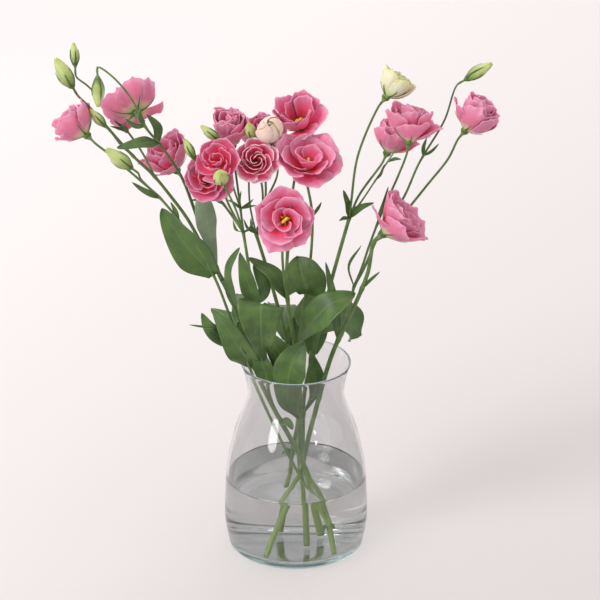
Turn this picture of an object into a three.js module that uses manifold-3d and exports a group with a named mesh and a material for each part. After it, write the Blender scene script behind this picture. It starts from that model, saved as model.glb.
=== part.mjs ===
// Cut lisianthus stems with double blooms, buds and leaves, standing in a clear glass vase of water.
// Millimetres, +Z up. The origin is the centre of the vase's flat foot, +X runs to the right and +Y
// away from the front.

import * as THREE from 'three';
import { mergeVertices } from 'three/addons/utils/BufferGeometryUtils.js';
import Module from 'manifold-3d';

const wasm = await Module();
wasm.setup();

// Clearance kept between two pieces that touch.
const GAP = 0.3;

// Height of the water's surface.
const WATER_LEVEL = 76.5;

// The vase: a wide body, a drawn-in neck and a flared rim. The outline is the outer wall's radius
// and height, between the rounded heel and the lip.
const VASE = {
  height: 200,
  footRadius: 58,
  rimRadius: 54.4,
  wall: 2.2,
  floor: 7,
  innerHeel: 12,
  lip: 0.7,
  sides: 22,
  stations: [28, 54, WATER_LEVEL, 102, 127, 148, 165, 183],
  outline: [[67.2, 7], [70.6, 26], [71, 46], [68.6, 86], [61, 123], [51.6, 150], [47.8, 165], [49.4, 182]],
};

// Stem, leaf and petal gauges.
const BLADE = { petal: 0.7, leaf: 0.8 };
const STEM_STEP = 38;
const CALYX = { depth: 5, foot: 1.4, mouth: 3.3, shoulder: 1 };
const SEPAL = { count: 5, length: 16, spread: 14, drop: 2.5 };

// A bloom's solid foot: the first whorl's height above the calyx, the rise from one whorl to the
// next, and how far the foot reaches above and below each.
const FOOT = { first: 1, step: 0.6, above: 0.9, below: 0.7 };

// Each whorl of a bloom: how many petals, their length as a share of the bloom's petal length, the
// lean from the bloom's axis at the root and at the tip, how far the tip curls back, the radius of
// the ring of roots, how far a petal's edges step in and out where it tucks under its neighbour, and
// the rows of facets up a petal. All angles are degrees.
const STYLES = {
  open: [
    { petals: 5, length: 1, root: 52, tip: 74, curl: 14, ring: 4.4, tuck: 2, rows: 3 },
    { petals: 4, length: 0.84, root: 38, tip: 42, curl: 30, ring: 3.4, tuck: 1.6, rows: 2 },
    { petals: 3, length: 0.68, root: 24, tip: 26, curl: 22, ring: 2.4, tuck: 1, rows: 1 },
  ],
  bell: [
    { petals: 5, length: 1, root: 46, tip: 28, curl: 26, ring: 4.4, tuck: 2, rows: 2 },
    { petals: 4, length: 0.86, root: 34, tip: 16, curl: 18, ring: 3.2, tuck: 1.6, rows: 2 },
    { petals: 3, length: 0.7, root: 20, tip: 8, curl: 10, ring: 2.2, tuck: 1, rows: 1 },
  ],
  flute: [
    { petals: 5, length: 1, root: 38, tip: 18, curl: 32, ring: 4.4, tuck: 2, rows: 2 },
    { petals: 3, length: 0.82, root: 28, tip: 12, curl: 14, ring: 3.2, tuck: 1.6, rows: 2 },
  ],
  furled: [
    { petals: 5, length: 1, root: 38, tip: 4, curl: 34, ring: 3.3, tuck: 2, rows: 2 },
    { petals: 3, length: 0.92, root: 22, tip: 0, curl: 10, ring: 2, tuck: 1.5, rows: 1 },
  ],
  half: [
    { petals: 5, length: 1, root: 70, tip: 24, curl: 24, ring: 4.4, tuck: 2, rows: 3 },
    { petals: 4, length: 0.86, root: 44, tip: 12, curl: 20, ring: 3, tuck: 1.6, rows: 2 },
  ],
  rose: [
    { petals: 5, length: 1, root: 66, tip: 38, curl: 30, ring: 3.3, tuck: 2, rows: 2 },
    { petals: 4, length: 0.91, root: 42, tip: 10, curl: 18, ring: 2.4, tuck: 1.6, rows: 2 },
    { petals: 3, length: 0.86, root: 18, tip: -4, curl: 8, ring: 1.4, tuck: 1, rows: 1 },
  ],
  cup: [
    { petals: 5, length: 1, root: 54, tip: -2, curl: 58, ring: 3.3, tuck: 2, rows: 3 },
    { petals: 3, length: 0.9, root: 34, tip: -4, curl: 14, ring: 2, tuck: 1.5, rows: 1 },
  ],
  opening: [
    { petals: 5, length: 1, root: 56, tip: -10, curl: 24, ring: 2.9, tuck: 1.6, rows: 3 },
    { petals: 3, length: 0.92, root: 34, tip: -20, curl: 4, ring: 1.8, tuck: 1, rows: 1 },
  ],
};

// The blooms, from the front of the bunch to its back: where the petals spring from the calyx,
// which way the bloom faces, its petal length and its turn about its own axis in degrees.
const BLOOMS = {
  front: { style: 'open', base: [-10, -46, 371], axis: [-0.03, -0.93, 0.36], petal: 34, turn: 20 },
  wide: { style: 'open', base: [11, 0, 405], axis: [0.08, -0.38, 0.92], petal: 38, turn: 50 },
  top: { style: 'flute', base: [8, 46, 428], axis: [-0.16, -0.42, 0.89], petal: 38, turn: 0 },
  mid_spiral: { style: 'rose', base: [-39, 1, 414], axis: [0.04, -0.88, 0.46], petal: 25, turn: 10 },
  mid_lower: { style: 'open', base: [-86, 4, 391], axis: [0.05, -0.82, 0.56], petal: 27, turn: 40 },
  mid_upper: { style: 'half', base: [-74, -13, 418], axis: [-0.2, -0.75, 0.62], petal: 24, turn: 70 },
  mid_back: { style: 'furled', base: [-62, 28, 419], axis: [-0.05, -0.2, 0.98], petal: 40, turn: 25 },
  mid_hidden: { style: 'cup', base: [-32, 62, 401], axis: [0.05, -0.3, 0.95], petal: 38, turn: 15 },
  right_low: { style: 'bell', base: [88, -22, 344], axis: [0.78, 0.08, 0.62], petal: 43, turn: 30 },
  right_upper: { style: 'cup', base: [109, -6, 437], axis: [0.08, 0.36, 0.93], petal: 42, turn: 65 },
  right_back: { style: 'cup', base: [85, 34, 406], axis: [0.4, 0.15, 0.9], petal: 37, turn: 35 },
  right_outer: { style: 'cup', base: [164, 9, 441], axis: [0.62, 0.1, 0.78], petal: 40, turn: 5 },
  left_low: { style: 'bell', base: [-117, 46, 385], axis: [-0.5, -0.1, 0.86], petal: 39, turn: 55 },
  left_top: { style: 'half', base: [-152, 12, 457], axis: [-0.38, 0.8, 0.46], petal: 37, turn: 45 },
  left_outer: { style: 'cup', base: [-198, -19, 447], axis: [-0.7, 0.3, 0.64], petal: 36, turn: 20 },
};

// The buds: closed ones are twisted spindles, and opening ones are blooms with furled petals.
const BUDS = {
  left_high: { base: [-215, -9, 497], axis: [-0.45, -0.09, 0.89], length: 33, width: 15 },
  left_tip: { base: [-213, 22, 506], axis: [-0.05, 0.14, 0.99], length: 22, width: 9 },
  left_nodding: { base: [-190, -12, 506], axis: [0.01, -0.23, -0.97], length: 28, width: 12 },
  left_slim: { base: [-184, -12, 457], axis: [-0.64, 0, 0.77], length: 22, width: 9 },
  left_side: { base: [-159, -37, 424], axis: [-0.71, -0.19, 0.68], length: 32, width: 14 },
  mid_left_high: { base: [-75, 3, 436], axis: [-0.76, 0, 0.65], length: 22, width: 9 },
  mid_left_low: { base: [-99, 3, 417], axis: [-0.43, 0.16, 0.89], length: 20, width: 9 },
  mid_small: { base: [-42, 6, 437], axis: [-0.17, -0.44, 0.88], length: 21, width: 11 },
  mid_round: { base: [-71, -40, 412], axis: [-0.08, -0.79, 0.61], length: 24, width: 15 },
  right_tip: { base: [165, 16, 494], axis: [0.83, 0, 0.55], length: 29, width: 12 },
  mid_pale: { base: [-24, -3, 442], axis: [-0.15, -0.61, 0.78], length: 26, width: 24 },
  right_pale: { base: [87, 0, 482], axis: [0.58, 0.26, 0.77], petal: 33, turn: 30, style: 'opening' },
};

// The stems. A run is one length of stem through its points, from its thick end to its thin one.
// Every run after the first springs from the nearest point of the runs before it, and one that
// bears a bloom or bud ends in that head's calyx. A leaf's rib springs from its stem too, and its
// face is the way its upper side looks.
const STEMS = {
  left_stem: {
    runs: [
      { radii: [2.7, 2.1], points: [[35, -42, 9.6], [23, -22, 52], [14, -16, 76], [7, -13, 94],
        [-6, -15, 123], [-19, -15, 150], [-41, -13, 200], [-57, -8, 254], [-72, -3, 289]] },
      { radii: [1.6, 1.1], bears: 'left_outer', points: [[27, -28, 39], [13, -29, 69], [-12, -28, 120],
        [-38, -27, 185], [-61, -16, 245], [-78, -9, 291], [-95, -19, 331], [-121, -26, 374],
        [-134, -26, 390], [-147, -25, 402], [-180, -21, 431]] },
      { radii: [1.1, 1], bears: 'left_side', points: [[-134, -26, 390], [-150, -35, 412]] },
      { radii: [1.9, 1.1], bears: 'left_high', points: [[-72, -3, 289], [-89, 6, 317], [-106, 12, 348],
        [-122, 12, 372], [-138, 9, 395], [-159, 3, 420], [-198, -8, 474]] },
      { radii: [1.2, 0.9], bears: 'left_tip', points: [[-138, 9, 395], [-150, 22, 415], [-178, 28, 454],
        [-201, 26, 482]] },
      { radii: [1, 0.9], bears: 'left_slim', points: [[-159, 3, 420], [-169, -6, 434]] },
      { radii: [1.9, 1.3], points: [[-74, -3, 290], [-84, 18, 310], [-96, 22, 343], [-111, 16, 390],
        [-131, 0, 432]] },
      { radii: [1.2, 0.9], bears: 'left_nodding', points: [[-131, 0, 432], [-144, -11, 454],
        [-158, -12, 485], [-176, -12, 508]] },
      { radii: [1.2, 1.1], bears: 'left_top', points: [[-131, 0, 432], [-140, 6, 440]] },
      { radii: [1.2, 1.1], bears: 'left_low', points: [[-96, 22, 343], [-102, 36, 356]] },
      { radii: [1.8, 1.5], points: [[-15, -15, 141], [-25, -18, 168], [-30, -23, 210], [-36, -23, 247],
        [-41, -22, 279], [-51, -16, 346]] },
      { radii: [1.2, 1.1], bears: 'mid_upper', points: [[-51, -16, 346], [-68, -8, 380]] },
      { radii: [1.2, 1.1], bears: 'mid_lower', points: [[-51, -16, 346], [-70, 5, 366]] },
      { radii: [1.1, 1], bears: 'mid_round', points: [[-51, -16, 346], [-59, -32, 380]] },
      { radii: [1.2, 1.1], bears: 'mid_back', points: [[-51, -16, 346], [-54, 0, 365], [-58, 24, 386]] },
      { radii: [1, 0.9], bears: 'mid_left_high', points: [[-54, 0, 365], [-62, 9, 388]] },
      { radii: [1, 0.9], bears: 'mid_left_low', points: [[-70, 5, 366], [-86, 12, 382]] },
    ],
    leaves: [
      { width: 36, face: [-0.3, -0.9, 0.3],
        rib: [[-84, -5, 298], [-103, -19, 328], [-119, -23, 355], [-130, -20, 373]] },
      { width: 24, widest: 0.55, face: [-0.5, 0.8, -0.2],
        rib: [[-81, 9, 294], [-82, 5, 325], [-88, 8, 354], [-91, 16, 380]] },
      { width: 13, face: [0.1, -0.6, 0.8], rib: [[-131, -2, 434], [-150, -16, 440], [-172, -25, 439]] },
      { width: 11, face: [0.5, -0.7, 0.3], rib: [[-131, 2, 433], [-134, -6, 452], [-143, -9, 467]] },
      { width: 19, face: [-0.2, -0.7, 0.7],
        rib: [[-55, -12, 223], [-72, -30, 239], [-84, -37, 253], [-92, -34, 268]] },
      { width: 27, face: [-0.3, -0.8, 0.5],
        rib: [[-43, -14, 198], [-55, -38, 230], [-68, -43, 256], [-81, -34, 272]] },
      { width: 22, widest: 0.55, face: [0.3, -0.8, 0.5],
        rib: [[-38, -14, 208], [-47, -34, 239], [-57, -28, 256]] },
      { width: 22, face: [-0.2, -0.4, 0.9], rib: [[-55, -6, 230], [-69, 16, 237], [-84, 28, 244]] },
      { width: 13, face: [-0.7, -0.7, 0.1],
        rib: [[-58, -8, 257], [-64, -12, 283], [-65, -16, 308], [-55, -19, 331]] },
      { width: 17, face: [-0.2, -0.9, 0.2], rib: [[-39, -23, 271], [-46, -37, 299], [-54, -40, 336]] },
      { width: 14, face: [0.4, -0.8, 0.2], rib: [[-39, -22, 273], [-31, -16, 286], [-42, -12, 309]] },
      { width: 46, widest: 0.86, face: [0, -0.7, 0.7],
        rib: [[-31, -24, 210], [-33, -45, 238], [-34, -57, 265], [-34, -59, 287], [-32, -46, 283]] },
      { width: 20, face: [-0.2, -0.8, 0.5], rib: [[-27, -19, 188], [-33, -28, 210], [-39, -23, 224]] },
      { width: 28, face: [0, 0.4, 0.9], rib: [[-49, -8, 232], [-50, 34, 246], [-58, 68, 240]] },
    ],
    bracts: [
      { width: 5, face: [0.2, -0.9, 0.3], rib: [[-145, -11, 455], [-149, -15, 465], [-150, -18, 477]] },
      { width: 5, face: [0.2, -0.9, 0.3], rib: [[-145, -11, 455], [-155, -15, 458], [-164, -16, 466]] },
      { width: 4, face: [0, -0.6, 0.8], rib: [[-61, -16, 243], [-86, -37, 254], [-104, -40, 258]] },
      { width: 6, face: [-0.2, -0.8, 0.6],
        rib: [[-131, -26, 387], [-146, -34, 398], [-158, -34, 407]] },
      { width: 5, face: [-0.4, -0.8, 0.3],
        rib: [[-113, -24, 362], [-116, -26, 372], [-121, -24, 382]] },
      { width: 4, face: [-0.6, -0.6, 0.3], rib: [[-51, -16, 346], [-58, -22, 352], [-61, -22, 362]] },
      { width: 4, face: [-0.2, -0.6, 0.6], rib: [[27, -28, 39], [24, -34, 36], [24, -36, 32]] },
      { width: 4, face: [0.4, -0.6, 0.6], rib: [[27, -28, 39], [31, -32, 38], [34, -34, 34]] },
      { width: 10, face: [0.4, -0.7, 0.5], rib: [[-15, -15, 141], [-8, -22, 143], [-3, -25, 137]] },
    ],
  },
  front_stem: {
    runs: [
      { radii: [2.5, 1.7], points: [[8, -8, 9], [6, 0, 60], [3, 4, 92], [3, 1, 123], [4, -3, 169],
        [1, -6, 204], [-4, -9, 240], [-8, -16, 273], [-9, -20, 305], [-8, -22, 330]] },
      { radii: [1.5, 1.2], bears: 'front', points: [[-8, -16, 273], [-12, -30, 309], [-13, -37, 338]] },
      { radii: [1.6, 1.1], bears: 'top', points: [[-8, -22, 330], [-7, 3, 348], [-2, 36, 375]] },
      { radii: [1.6, 1.3], bears: 'wide',
        points: [[1, -6, 212], [6, 3, 245], [14, 12, 301], [16, 16, 350]] },
    ],
    leaves: [
      { width: 34, widest: 0.6, face: [-0.35, -0.65, 0.65],
        rib: [[1, -7, 218], [14, -30, 254], [34, -38, 279], [58, -28, 286]] },
      { width: 43, widest: 0.5, face: [0, -0.85, 0.5],
        rib: [[12, 8, 270], [10, -6, 283], [6, -9, 298], [2, 4, 311]] },
      { width: 26, face: [-0.3, -0.6, 0.75],
        rib: [[4, 0, 236], [13, 14, 250], [22, 24, 260], [29, 30, 262]] },
      { width: 17, face: [0.2, -0.6, 0.8],
        rib: [[-8, -17, 277], [-22, -14, 300], [-35, -11, 309], [-46, -8, 315]] },
      { width: 34, widest: 0.55, face: [-0.1, -1, 0.2],
        rib: [[4, -2, 138], [-8, -31, 174], [-4, -40, 217], [8, -34, 236]] },
    ],
    bracts: [
      { width: 5, face: [0.4, -0.8, 0.2], rib: [[-7, 3, 348], [0, -3, 360], [5, -3, 370]] },
      { width: 4, face: [0.4, -0.8, 0.2], rib: [[16, 16, 350], [22, 12, 360], [25, 12, 366]] },
    ],
  },
  middle_stem: {
    runs: [
      { radii: [2.5, 1.7], points: [[-10, 30, 9], [-6, 17, 60], [-4, 14, 92], [2, 11, 130], [1, 11, 163],
        [-4, 9, 197], [-12, 6, 233], [-28, 8, 295], [-39, 12, 332]] },
      { radii: [1.2, 1.1], bears: 'mid_spiral', points: [[-39, 12, 332], [-33, 18, 353], [-33, 18, 380]] },
      { radii: [1, 0.9], bears: 'mid_small', points: [[-39, 12, 332], [-45, 21, 360], [-45, 20, 400]] },
      { radii: [1.3, 1.1], bears: 'mid_hidden', points: [[-39, 12, 332], [-30, 40, 355], [-31, 66, 380]] },
      { radii: [1.1, 1], bears: 'mid_pale', points: [[-30, 40, 355], [-19, 31, 383], [-18, 16, 406]] },
    ],
    leaves: [
      { width: 28, face: [-0.3, -0.8, 0.5], rib: [[1, 10, 161], [-17, -6, 190], [-7, -12, 213]] },
      { width: 30, face: [0, 0.5, 0.85], rib: [[-8, 6, 218], [-13, 40, 236], [-24, 78, 226]] },
      { width: 20, face: [0, -0.9, 0.4], rib: [[-4, 9, 205], [0, 16, 224], [2, 20, 243]] },
    ],
    bracts: [
      { width: 4, face: [0.4, -0.8, 0.2], rib: [[-39, 12, 332], [-33, 8, 342], [-29, 8, 352]] },
      { width: 5, face: [0.2, -0.6, 0.6], rib: [[-4, 14, 92], [-10, 10, 96], [-14, 9, 92]] },
      { width: 5, face: [0.2, -0.6, 0.6], rib: [[-4, 14, 92], [0, 22, 97], [2, 26, 93]] },
    ],
  },
  right_inner_stem: {
    runs: [
      { radii: [2.5, 1.8], points: [[16, 18, 9], [9, 18, 61], [7, 20, 92], [7, 24, 123], [8, 23, 150],
        [13, 20, 180], [22, 12, 224], [36, 6, 289], [52, 3, 353]] },
      { radii: [1.3, 1.1], bears: 'right_pale', points: [[52, 3, 353], [54, 1, 373], [60, 0, 420]] },
      { radii: [1.2, 1.1], bears: 'right_back', points: [[52, 3, 353], [62, 20, 370]] },
      { radii: [1, 0.7], points: [[52, 3, 353], [64, 5, 370], [89, 0, 414], [98, 2, 428]] },
    ],
    leaves: [
      { width: 7, face: [0.5, -0.8, 0.2], rib: [[51, 3, 353], [50, 0, 370], [46, -3, 385]] },
      { width: 8, face: [-0.2, -0.6, 0.8], rib: [[53, 3, 354], [63, -2, 366], [76, -2, 371]] },
      { width: 19, face: [0.4, -0.9, 0], rib: [[7, 23, 130], [20, 10, 166], [14, 10, 206]] },
      { width: 30, face: [0, 0.5, 0.85], rib: [[16, 17, 200], [18, 50, 222], [24, 84, 214]] },
      { width: 42, widest: 0.6, face: [0, -0.6, 0.8],
        rib: [[22, 12, 224], [38, 24, 230], [54, 33, 224], [65, 37, 211]] },
    ],
    bracts: [
      { width: 5, face: [0, -0.6, 0.8], rib: [[52, 3, 353], [47, -5, 356], [42, -9, 355]] },
      { width: 5, face: [0.6, -0.6, 0.2], rib: [[76, 2, 392], [82, -1, 402], [86, -2, 412]] },
      { width: 4, face: [0.6, -0.6, 0.2], rib: [[89, 0, 414], [95, -3, 418], [102, -4, 418]] },
    ],
  },
  right_stem: {
    runs: [
      { radii: [2.7, 2], bears: 'right_low', points: [[-28, -49, 9.8], [-12, -27, 45], [1, -12, 74],
        [7, -4, 91], [14, 0, 123], [22, 0, 157], [36, -6, 211], [48, -9, 242], [58, -12, 267],
        [70, -17, 303]] },
      { radii: [1.8, 1.4], points: [[44, -8, 233], [51, 4, 250], [57, 12, 275]] },
      { radii: [1.3, 1.1], bears: 'right_upper', points: [[57, 12, 275], [64, 19, 290], [72, 22, 315],
        [84, 18, 352], [99, 5, 396]] },
      { radii: [1.5, 0.9], bears: 'right_tip', points: [[57, 12, 275], [67, 25, 289], [83, 34, 324],
        [105, 34, 360], [120, 28, 400], [144, 22, 448]] },
      { radii: [1.3, 1.1], bears: 'right_outer', points: [[83, 34, 324], [98, 25, 339], [130, 16, 385],
        [148, 12, 412]] },
    ],
    leaves: [
      { width: 10, face: [0, -1, 0], rib: [[42, -8, 226], [37, -24, 276], [29, -27, 319]] },
    ],
    bracts: [
      { width: 4, face: [-0.8, -0.6, 0.1], rib: [[57, 12, 275], [52, 6, 300], [64, 2, 324]] },
      { width: 4, face: [0, -0.6, 0.8], rib: [[64, -14, 284], [72, -20, 296], [82, -20, 306]] },
      { width: 6, face: [0.6, -0.8, 0.2], rib: [[79, 21, 338], [84, 12, 360], [90, 8, 384]] },
      { width: 4, face: [0.2, -0.8, 0.4], rib: [[124, 27, 408], [124, 22, 420], [127, 21, 430]] },
      { width: 5, face: [-0.3, -0.8, 0.4], rib: [[23, 0, 160], [17, -5, 164], [13, -6, 160]] },
    ],
  },
};

// The blooms that open towards the front show a two-lobed stigma on its style, with the anthers
// round it.
const SHOWN_HEARTS = ['front', 'wide', 'top'];
const PALE_BUDS = ['mid_pale', 'right_pale'];
const STAMENS = { anthers: 4, foot: 1.4, height: 9, anther: 1.3, style: 1.1, stigma: 2.3 };

const COLOURS = {
  glass: 0xdfe9ea,
  water: 0xdbe6e4,
  stem: 0x5c7f3c,
  petal: 0xe07ba4,
  cream: 0xe9e6c9,
  bud: 0xc3d08a,
  stamens: 0xe0a82e,
};

const vector = (values) => new THREE.Vector3(...values);
const radians = THREE.MathUtils.degToRad;
const clamp = THREE.MathUtils.clamp;
const lerp = THREE.MathUtils.lerp;

// A steady draw between 0 and 1 for a whole number.
function draw(seed) {
  const value = Math.sin(seed * 12.9898 + 4.1414) * 43758.5453;
  return value - Math.floor(value);
}

// Solids, joined and cut.

function solidOf(geometry) {
  const bare = geometry.clone();
  bare.deleteAttribute('normal');
  bare.deleteAttribute('uv');
  const merged = mergeVertices(bare, 1e-4);
  return new wasm.Manifold(new wasm.Mesh({
    numProp: 3,
    vertProperties: new Float32Array(merged.attributes.position.array),
    triVerts: new Uint32Array(merged.index.array),
  }));
}

function geometryOf(solid) {
  const mesh = solid.getMesh();
  const geometry = new THREE.BufferGeometry();
  geometry.setAttribute('position', new THREE.BufferAttribute(new Float32Array(mesh.vertProperties), 3));
  geometry.setIndex(new THREE.BufferAttribute(new Uint32Array(mesh.triVerts), 1));
  geometry.computeVertexNormals();
  return geometry;
}

function joined(solids) {
  return solids.reduce((whole, solid) => whole.add(solid));
}

function boxesMeet(one, other) {
  const a = one.boundingBox();
  const b = other.boundingBox();
  return [0, 1, 2].every((k) => a.min[k] <= b.max[k] && b.min[k] <= a.max[k]);
}

function cutBy(solid, cutters) {
  return cutters
    .filter((cutter) => boxesMeet(solid, cutter))
    .reduce((left, cutter) => left.subtract(cutter), solid);
}

function largestBody(solid) {
  const bodies = solid.decompose();
  return bodies.reduce((best, body) => (body.volume() > best.volume() ? body : best));
}

// A blade: a thin closed sheet through place(s, t), with s from -1 to 1 across it and t from 0 to
// 1 along it. Both faces are split along the same diagonals, which lean outwards from its middle.
function bladeGeometry(place, columns, stations, thickness) {
  const nudge = 1e-3;
  const rows = stations.length - 1;
  const positions = [];
  for (const side of [0.5, -0.5]) {
    for (const t of stations) {
      for (let column = 0; column <= columns; column += 1) {
        const s = (2 * column) / columns - 1;
        const along = place(s, t + nudge).sub(place(s, t - nudge));
        const across = place(s + nudge, t).sub(place(s - nudge, t));
        const normal = across.cross(along).normalize();
        positions.push(...place(s, t).addScaledVector(normal, side * thickness).toArray());
      }
    }
  }
  const corner = (face, row, column) => (face * (rows + 1) + row) * (columns + 1) + column;
  const index = [];
  for (let row = 0; row < rows; row += 1) {
    for (let column = 0; column < columns; column += 1) {
      for (const face of [0, 1]) {
        const [a, b] = [corner(face, row, column), corner(face, row, column + 1)];
        const [d, c] = [corner(face, row + 1, column), corner(face, row + 1, column + 1)];
        const halves = column * 2 < columns ? [[a, b, d], [b, c, d]] : [[a, b, c], [a, c, d]];
        halves.forEach(([p, q, r]) => index.push(...(face === 0 ? [p, q, r] : [p, r, q])));
      }
    }
  }
  const rim = [];
  for (let column = 0; column < columns; column += 1) rim.push([0, column]);
  for (let row = 0; row < rows; row += 1) rim.push([row, columns]);
  for (let column = columns; column > 0; column -= 1) rim.push([rows, column]);
  for (let row = rows; row > 0; row -= 1) rim.push([row, 0]);
  rim.forEach(([row, column], k) => {
    const [nextRow, nextColumn] = rim[(k + 1) % rim.length];
    const [a, b] = [corner(0, row, column), corner(0, nextRow, nextColumn)];
    const [c, d] = [corner(1, row, column), corner(1, nextRow, nextColumn)];
    index.push(b, a, c, b, c, d);
  });
  const geometry = new THREE.BufferGeometry();
  geometry.setAttribute('position', new THREE.Float32BufferAttribute(positions, 3));
  geometry.setIndex(index);
  return geometry;
}

// A bowl with a solid foot: a sheet that closes on itself round an axis, from its columns of points,
// counted against the clock, each from the foot up. Its faces stand off the points along the mean of
// the cells' normals, and its outer and inner foot rings close on the two given centres.
function bowlGeometry(columns, thickness, centres) {
  const count = columns.length;
  const rows = columns[0].length - 1;
  const cells = [];
  for (let column = 0; column < count; column += 1) {
    for (let row = 0; row < rows; row += 1) cells.push([column, row]);
  }
  const normals = columns.map((points) => points.map(() => new THREE.Vector3()));
  for (const [column, row] of cells) {
    const next = (column + 1) % count;
    const across = columns[next][row + 1].clone().sub(columns[column][row]);
    const along = columns[column][row + 1].clone().sub(columns[next][row]);
    const normal = across.cross(along).normalize();
    const corners = [[column, row], [next, row], [column, row + 1], [next, row + 1]];
    corners.forEach(([c, r]) => normals[c][r].add(normal));
  }
  const positions = [];
  for (const side of [0.5, -0.5]) {
    columns.forEach((points, column) => points.forEach((point, row) => {
      const normal = normals[column][row].normalize();
      positions.push(...point.clone().addScaledVector(normal, side * thickness).toArray());
    }));
  }
  const corner = (face, column, row) => (face * count + (column % count)) * (rows + 1) + row;
  const index = [];
  for (const [column, row] of cells) {
    const [a, b, c, d] = [[column, row], [column + 1, row], [column + 1, row + 1], [column, row + 1]];
    for (const [p, q, r] of [[a, b, c], [a, c, d]]) {
      index.push(corner(0, ...p), corner(0, ...q), corner(0, ...r));
      index.push(corner(1, ...p), corner(1, ...r), corner(1, ...q));
    }
  }
  const [under, above] = [positions.length / 3, positions.length / 3 + 1];
  positions.push(...centres[0].toArray(), ...centres[1].toArray());
  for (let column = 0; column < count; column += 1) {
    const [a, b] = [corner(0, column + 1, rows), corner(0, column, rows)];
    const [c, d] = [corner(1, column + 1, rows), corner(1, column, rows)];
    index.push(b, a, c, b, c, d);
    index.push(under, corner(0, column + 1, 0), corner(0, column, 0));
    index.push(above, corner(1, column, 0), corner(1, column + 1, 0));
  }
  const geometry = new THREE.BufferGeometry();
  geometry.setAttribute('position', new THREE.Float32BufferAttribute(positions, 3));
  geometry.setIndex(index);
  return geometry;
}

// A closed cylinder bent along a curve. Its rings of corners turn as little as they can from one
// to the next.
function tubeGeometry(curve, radiusAt, sides, steps, grow) {
  const stations = Array.from({ length: steps + 1 }, (_, k) => k / steps);
  const geometry = new THREE.CylinderGeometry(1, 1, 1, sides, steps);
  const tangents = stations.map((share) => curve.getTangentAt(share));
  const normals = [new THREE.Vector3(1, 0, 0).cross(tangents[0]).normalize()];
  for (let k = 1; k <= steps; k += 1) {
    normals.push(normals[k - 1].clone().projectOnPlane(tangents[k]).normalize());
  }
  const position = geometry.attributes.position;
  for (let k = 0; k < position.count; k += 1) {
    const step = Math.round((position.getY(k) + 0.5) * steps);
    const radius = radiusAt(stations[step]) + grow;
    const end = step === 0 ? -grow : (step === steps ? grow : 0);
    const binormal = tangents[step].clone().cross(normals[step]);
    const point = curve.getPointAt(stations[step])
      .addScaledVector(normals[step], position.getX(k) * radius)
      .addScaledVector(binormal, -position.getZ(k) * radius)
      .addScaledVector(tangents[step], end);
    position.setXYZ(k, point.x, point.y, point.z);
  }
  return geometry;
}

// The frame of a flower head: its axis is +Z, and it is turned about it.
function headFrame(head) {
  const axis = vector(head.axis).normalize();
  const side = new THREE.Vector3(0, 0, 1).cross(axis);
  if (side.length() < 0.2) side.set(1, 0, 0);
  side.normalize();
  side.applyAxisAngle(axis, radians(head.turn ?? 0));
  const forward = axis.clone().cross(side);
  return new THREE.Matrix4().makeBasis(side, forward, axis).setPosition(...head.base);
}

// Vase and water.

function outerRadius(curve, z) {
  let [low, high] = [0, 1];
  for (let k = 0; k < 24; k += 1) {
    const middle = (low + high) / 2;
    if (curve.getPoint(middle).y < z) low = middle;
    else high = middle;
  }
  return curve.getPoint(low).x;
}

const vaseWall = new THREE.SplineCurve(
  [...VASE.outline, [VASE.rimRadius, VASE.height]].map(([r, z]) => new THREE.Vector2(r, z)),
);

function innerProfile(grow, heights) {
  const heelTop = VASE.floor + VASE.innerHeel;
  const wallRadius = outerRadius(vaseWall, heelTop) - VASE.wall - grow;
  const centre = wallRadius - VASE.innerHeel + grow;
  const arc = [0, 0.25, 0.5, 0.75].map((share) => {
    const turn = (share * Math.PI) / 2;
    const reach = VASE.innerHeel - grow;
    return [centre + reach * Math.sin(turn), heelTop - reach * Math.cos(turn)];
  });
  return [...arc, ...heights.map((z) => [outerRadius(vaseWall, z) - VASE.wall - grow, z])];
}

const latheOf = (profile) => solidOf(
  new THREE.LatheGeometry(profile.map(([r, z]) => new THREE.Vector2(r, z)), VASE.sides),
).rotate([90, 0, 0]);

function vase(grow = 0) {
  const heights = [...VASE.stations];
  const outer = [
    [0, -grow],
    [VASE.footRadius, -grow],
    [VASE.footRadius + 5.5 + grow * 0.5, 1.6 - grow],
    [VASE.outline[0][0] + grow, VASE.outline[0][1]],
    ...heights.map((z) => [outerRadius(vaseWall, z) + grow, z]),
    [VASE.rimRadius + grow, VASE.height - VASE.lip],
    [VASE.rimRadius - VASE.lip + grow, VASE.height + grow],
    [VASE.rimRadius - VASE.wall + VASE.lip - grow, VASE.height + grow],
    [VASE.rimRadius - VASE.wall - grow, VASE.height - VASE.lip],
  ];
  const inner = innerProfile(grow, [19, ...heights]).reverse();
  return latheOf([...outer, ...inner, [0, VASE.floor + grow]]);
}

function water(holes) {
  const body = latheOf([
    [0, VASE.floor + GAP],
    ...innerProfile(GAP, [19, ...VASE.stations.filter((z) => z <= WATER_LEVEL)]),
    [0, WATER_LEVEL],
  ]);
  return cutBy(body, holes);
}

// Stems.

const HEADS = { ...BLOOMS, ...BUDS };

const stepsOf = (curve) => Math.max(1, Math.round(curve.getLength() / STEM_STEP));

// The place nearest to a point on the straight pieces that the curves' stems are made of.
function nearestOn(curves, point) {
  const target = vector(point);
  const places = curves.flatMap((curve) => {
    const corners = curve.getSpacedPoints(stepsOf(curve));
    return corners.slice(1).map((corner, k) => (
      new THREE.Line3(corners[k], corner).closestPointToPoint(target, true, new THREE.Vector3())
    ));
  });
  return places.reduce((best, place) => (
    place.distanceTo(target) < best.distanceTo(target) ? place : best
  ));
}

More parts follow.
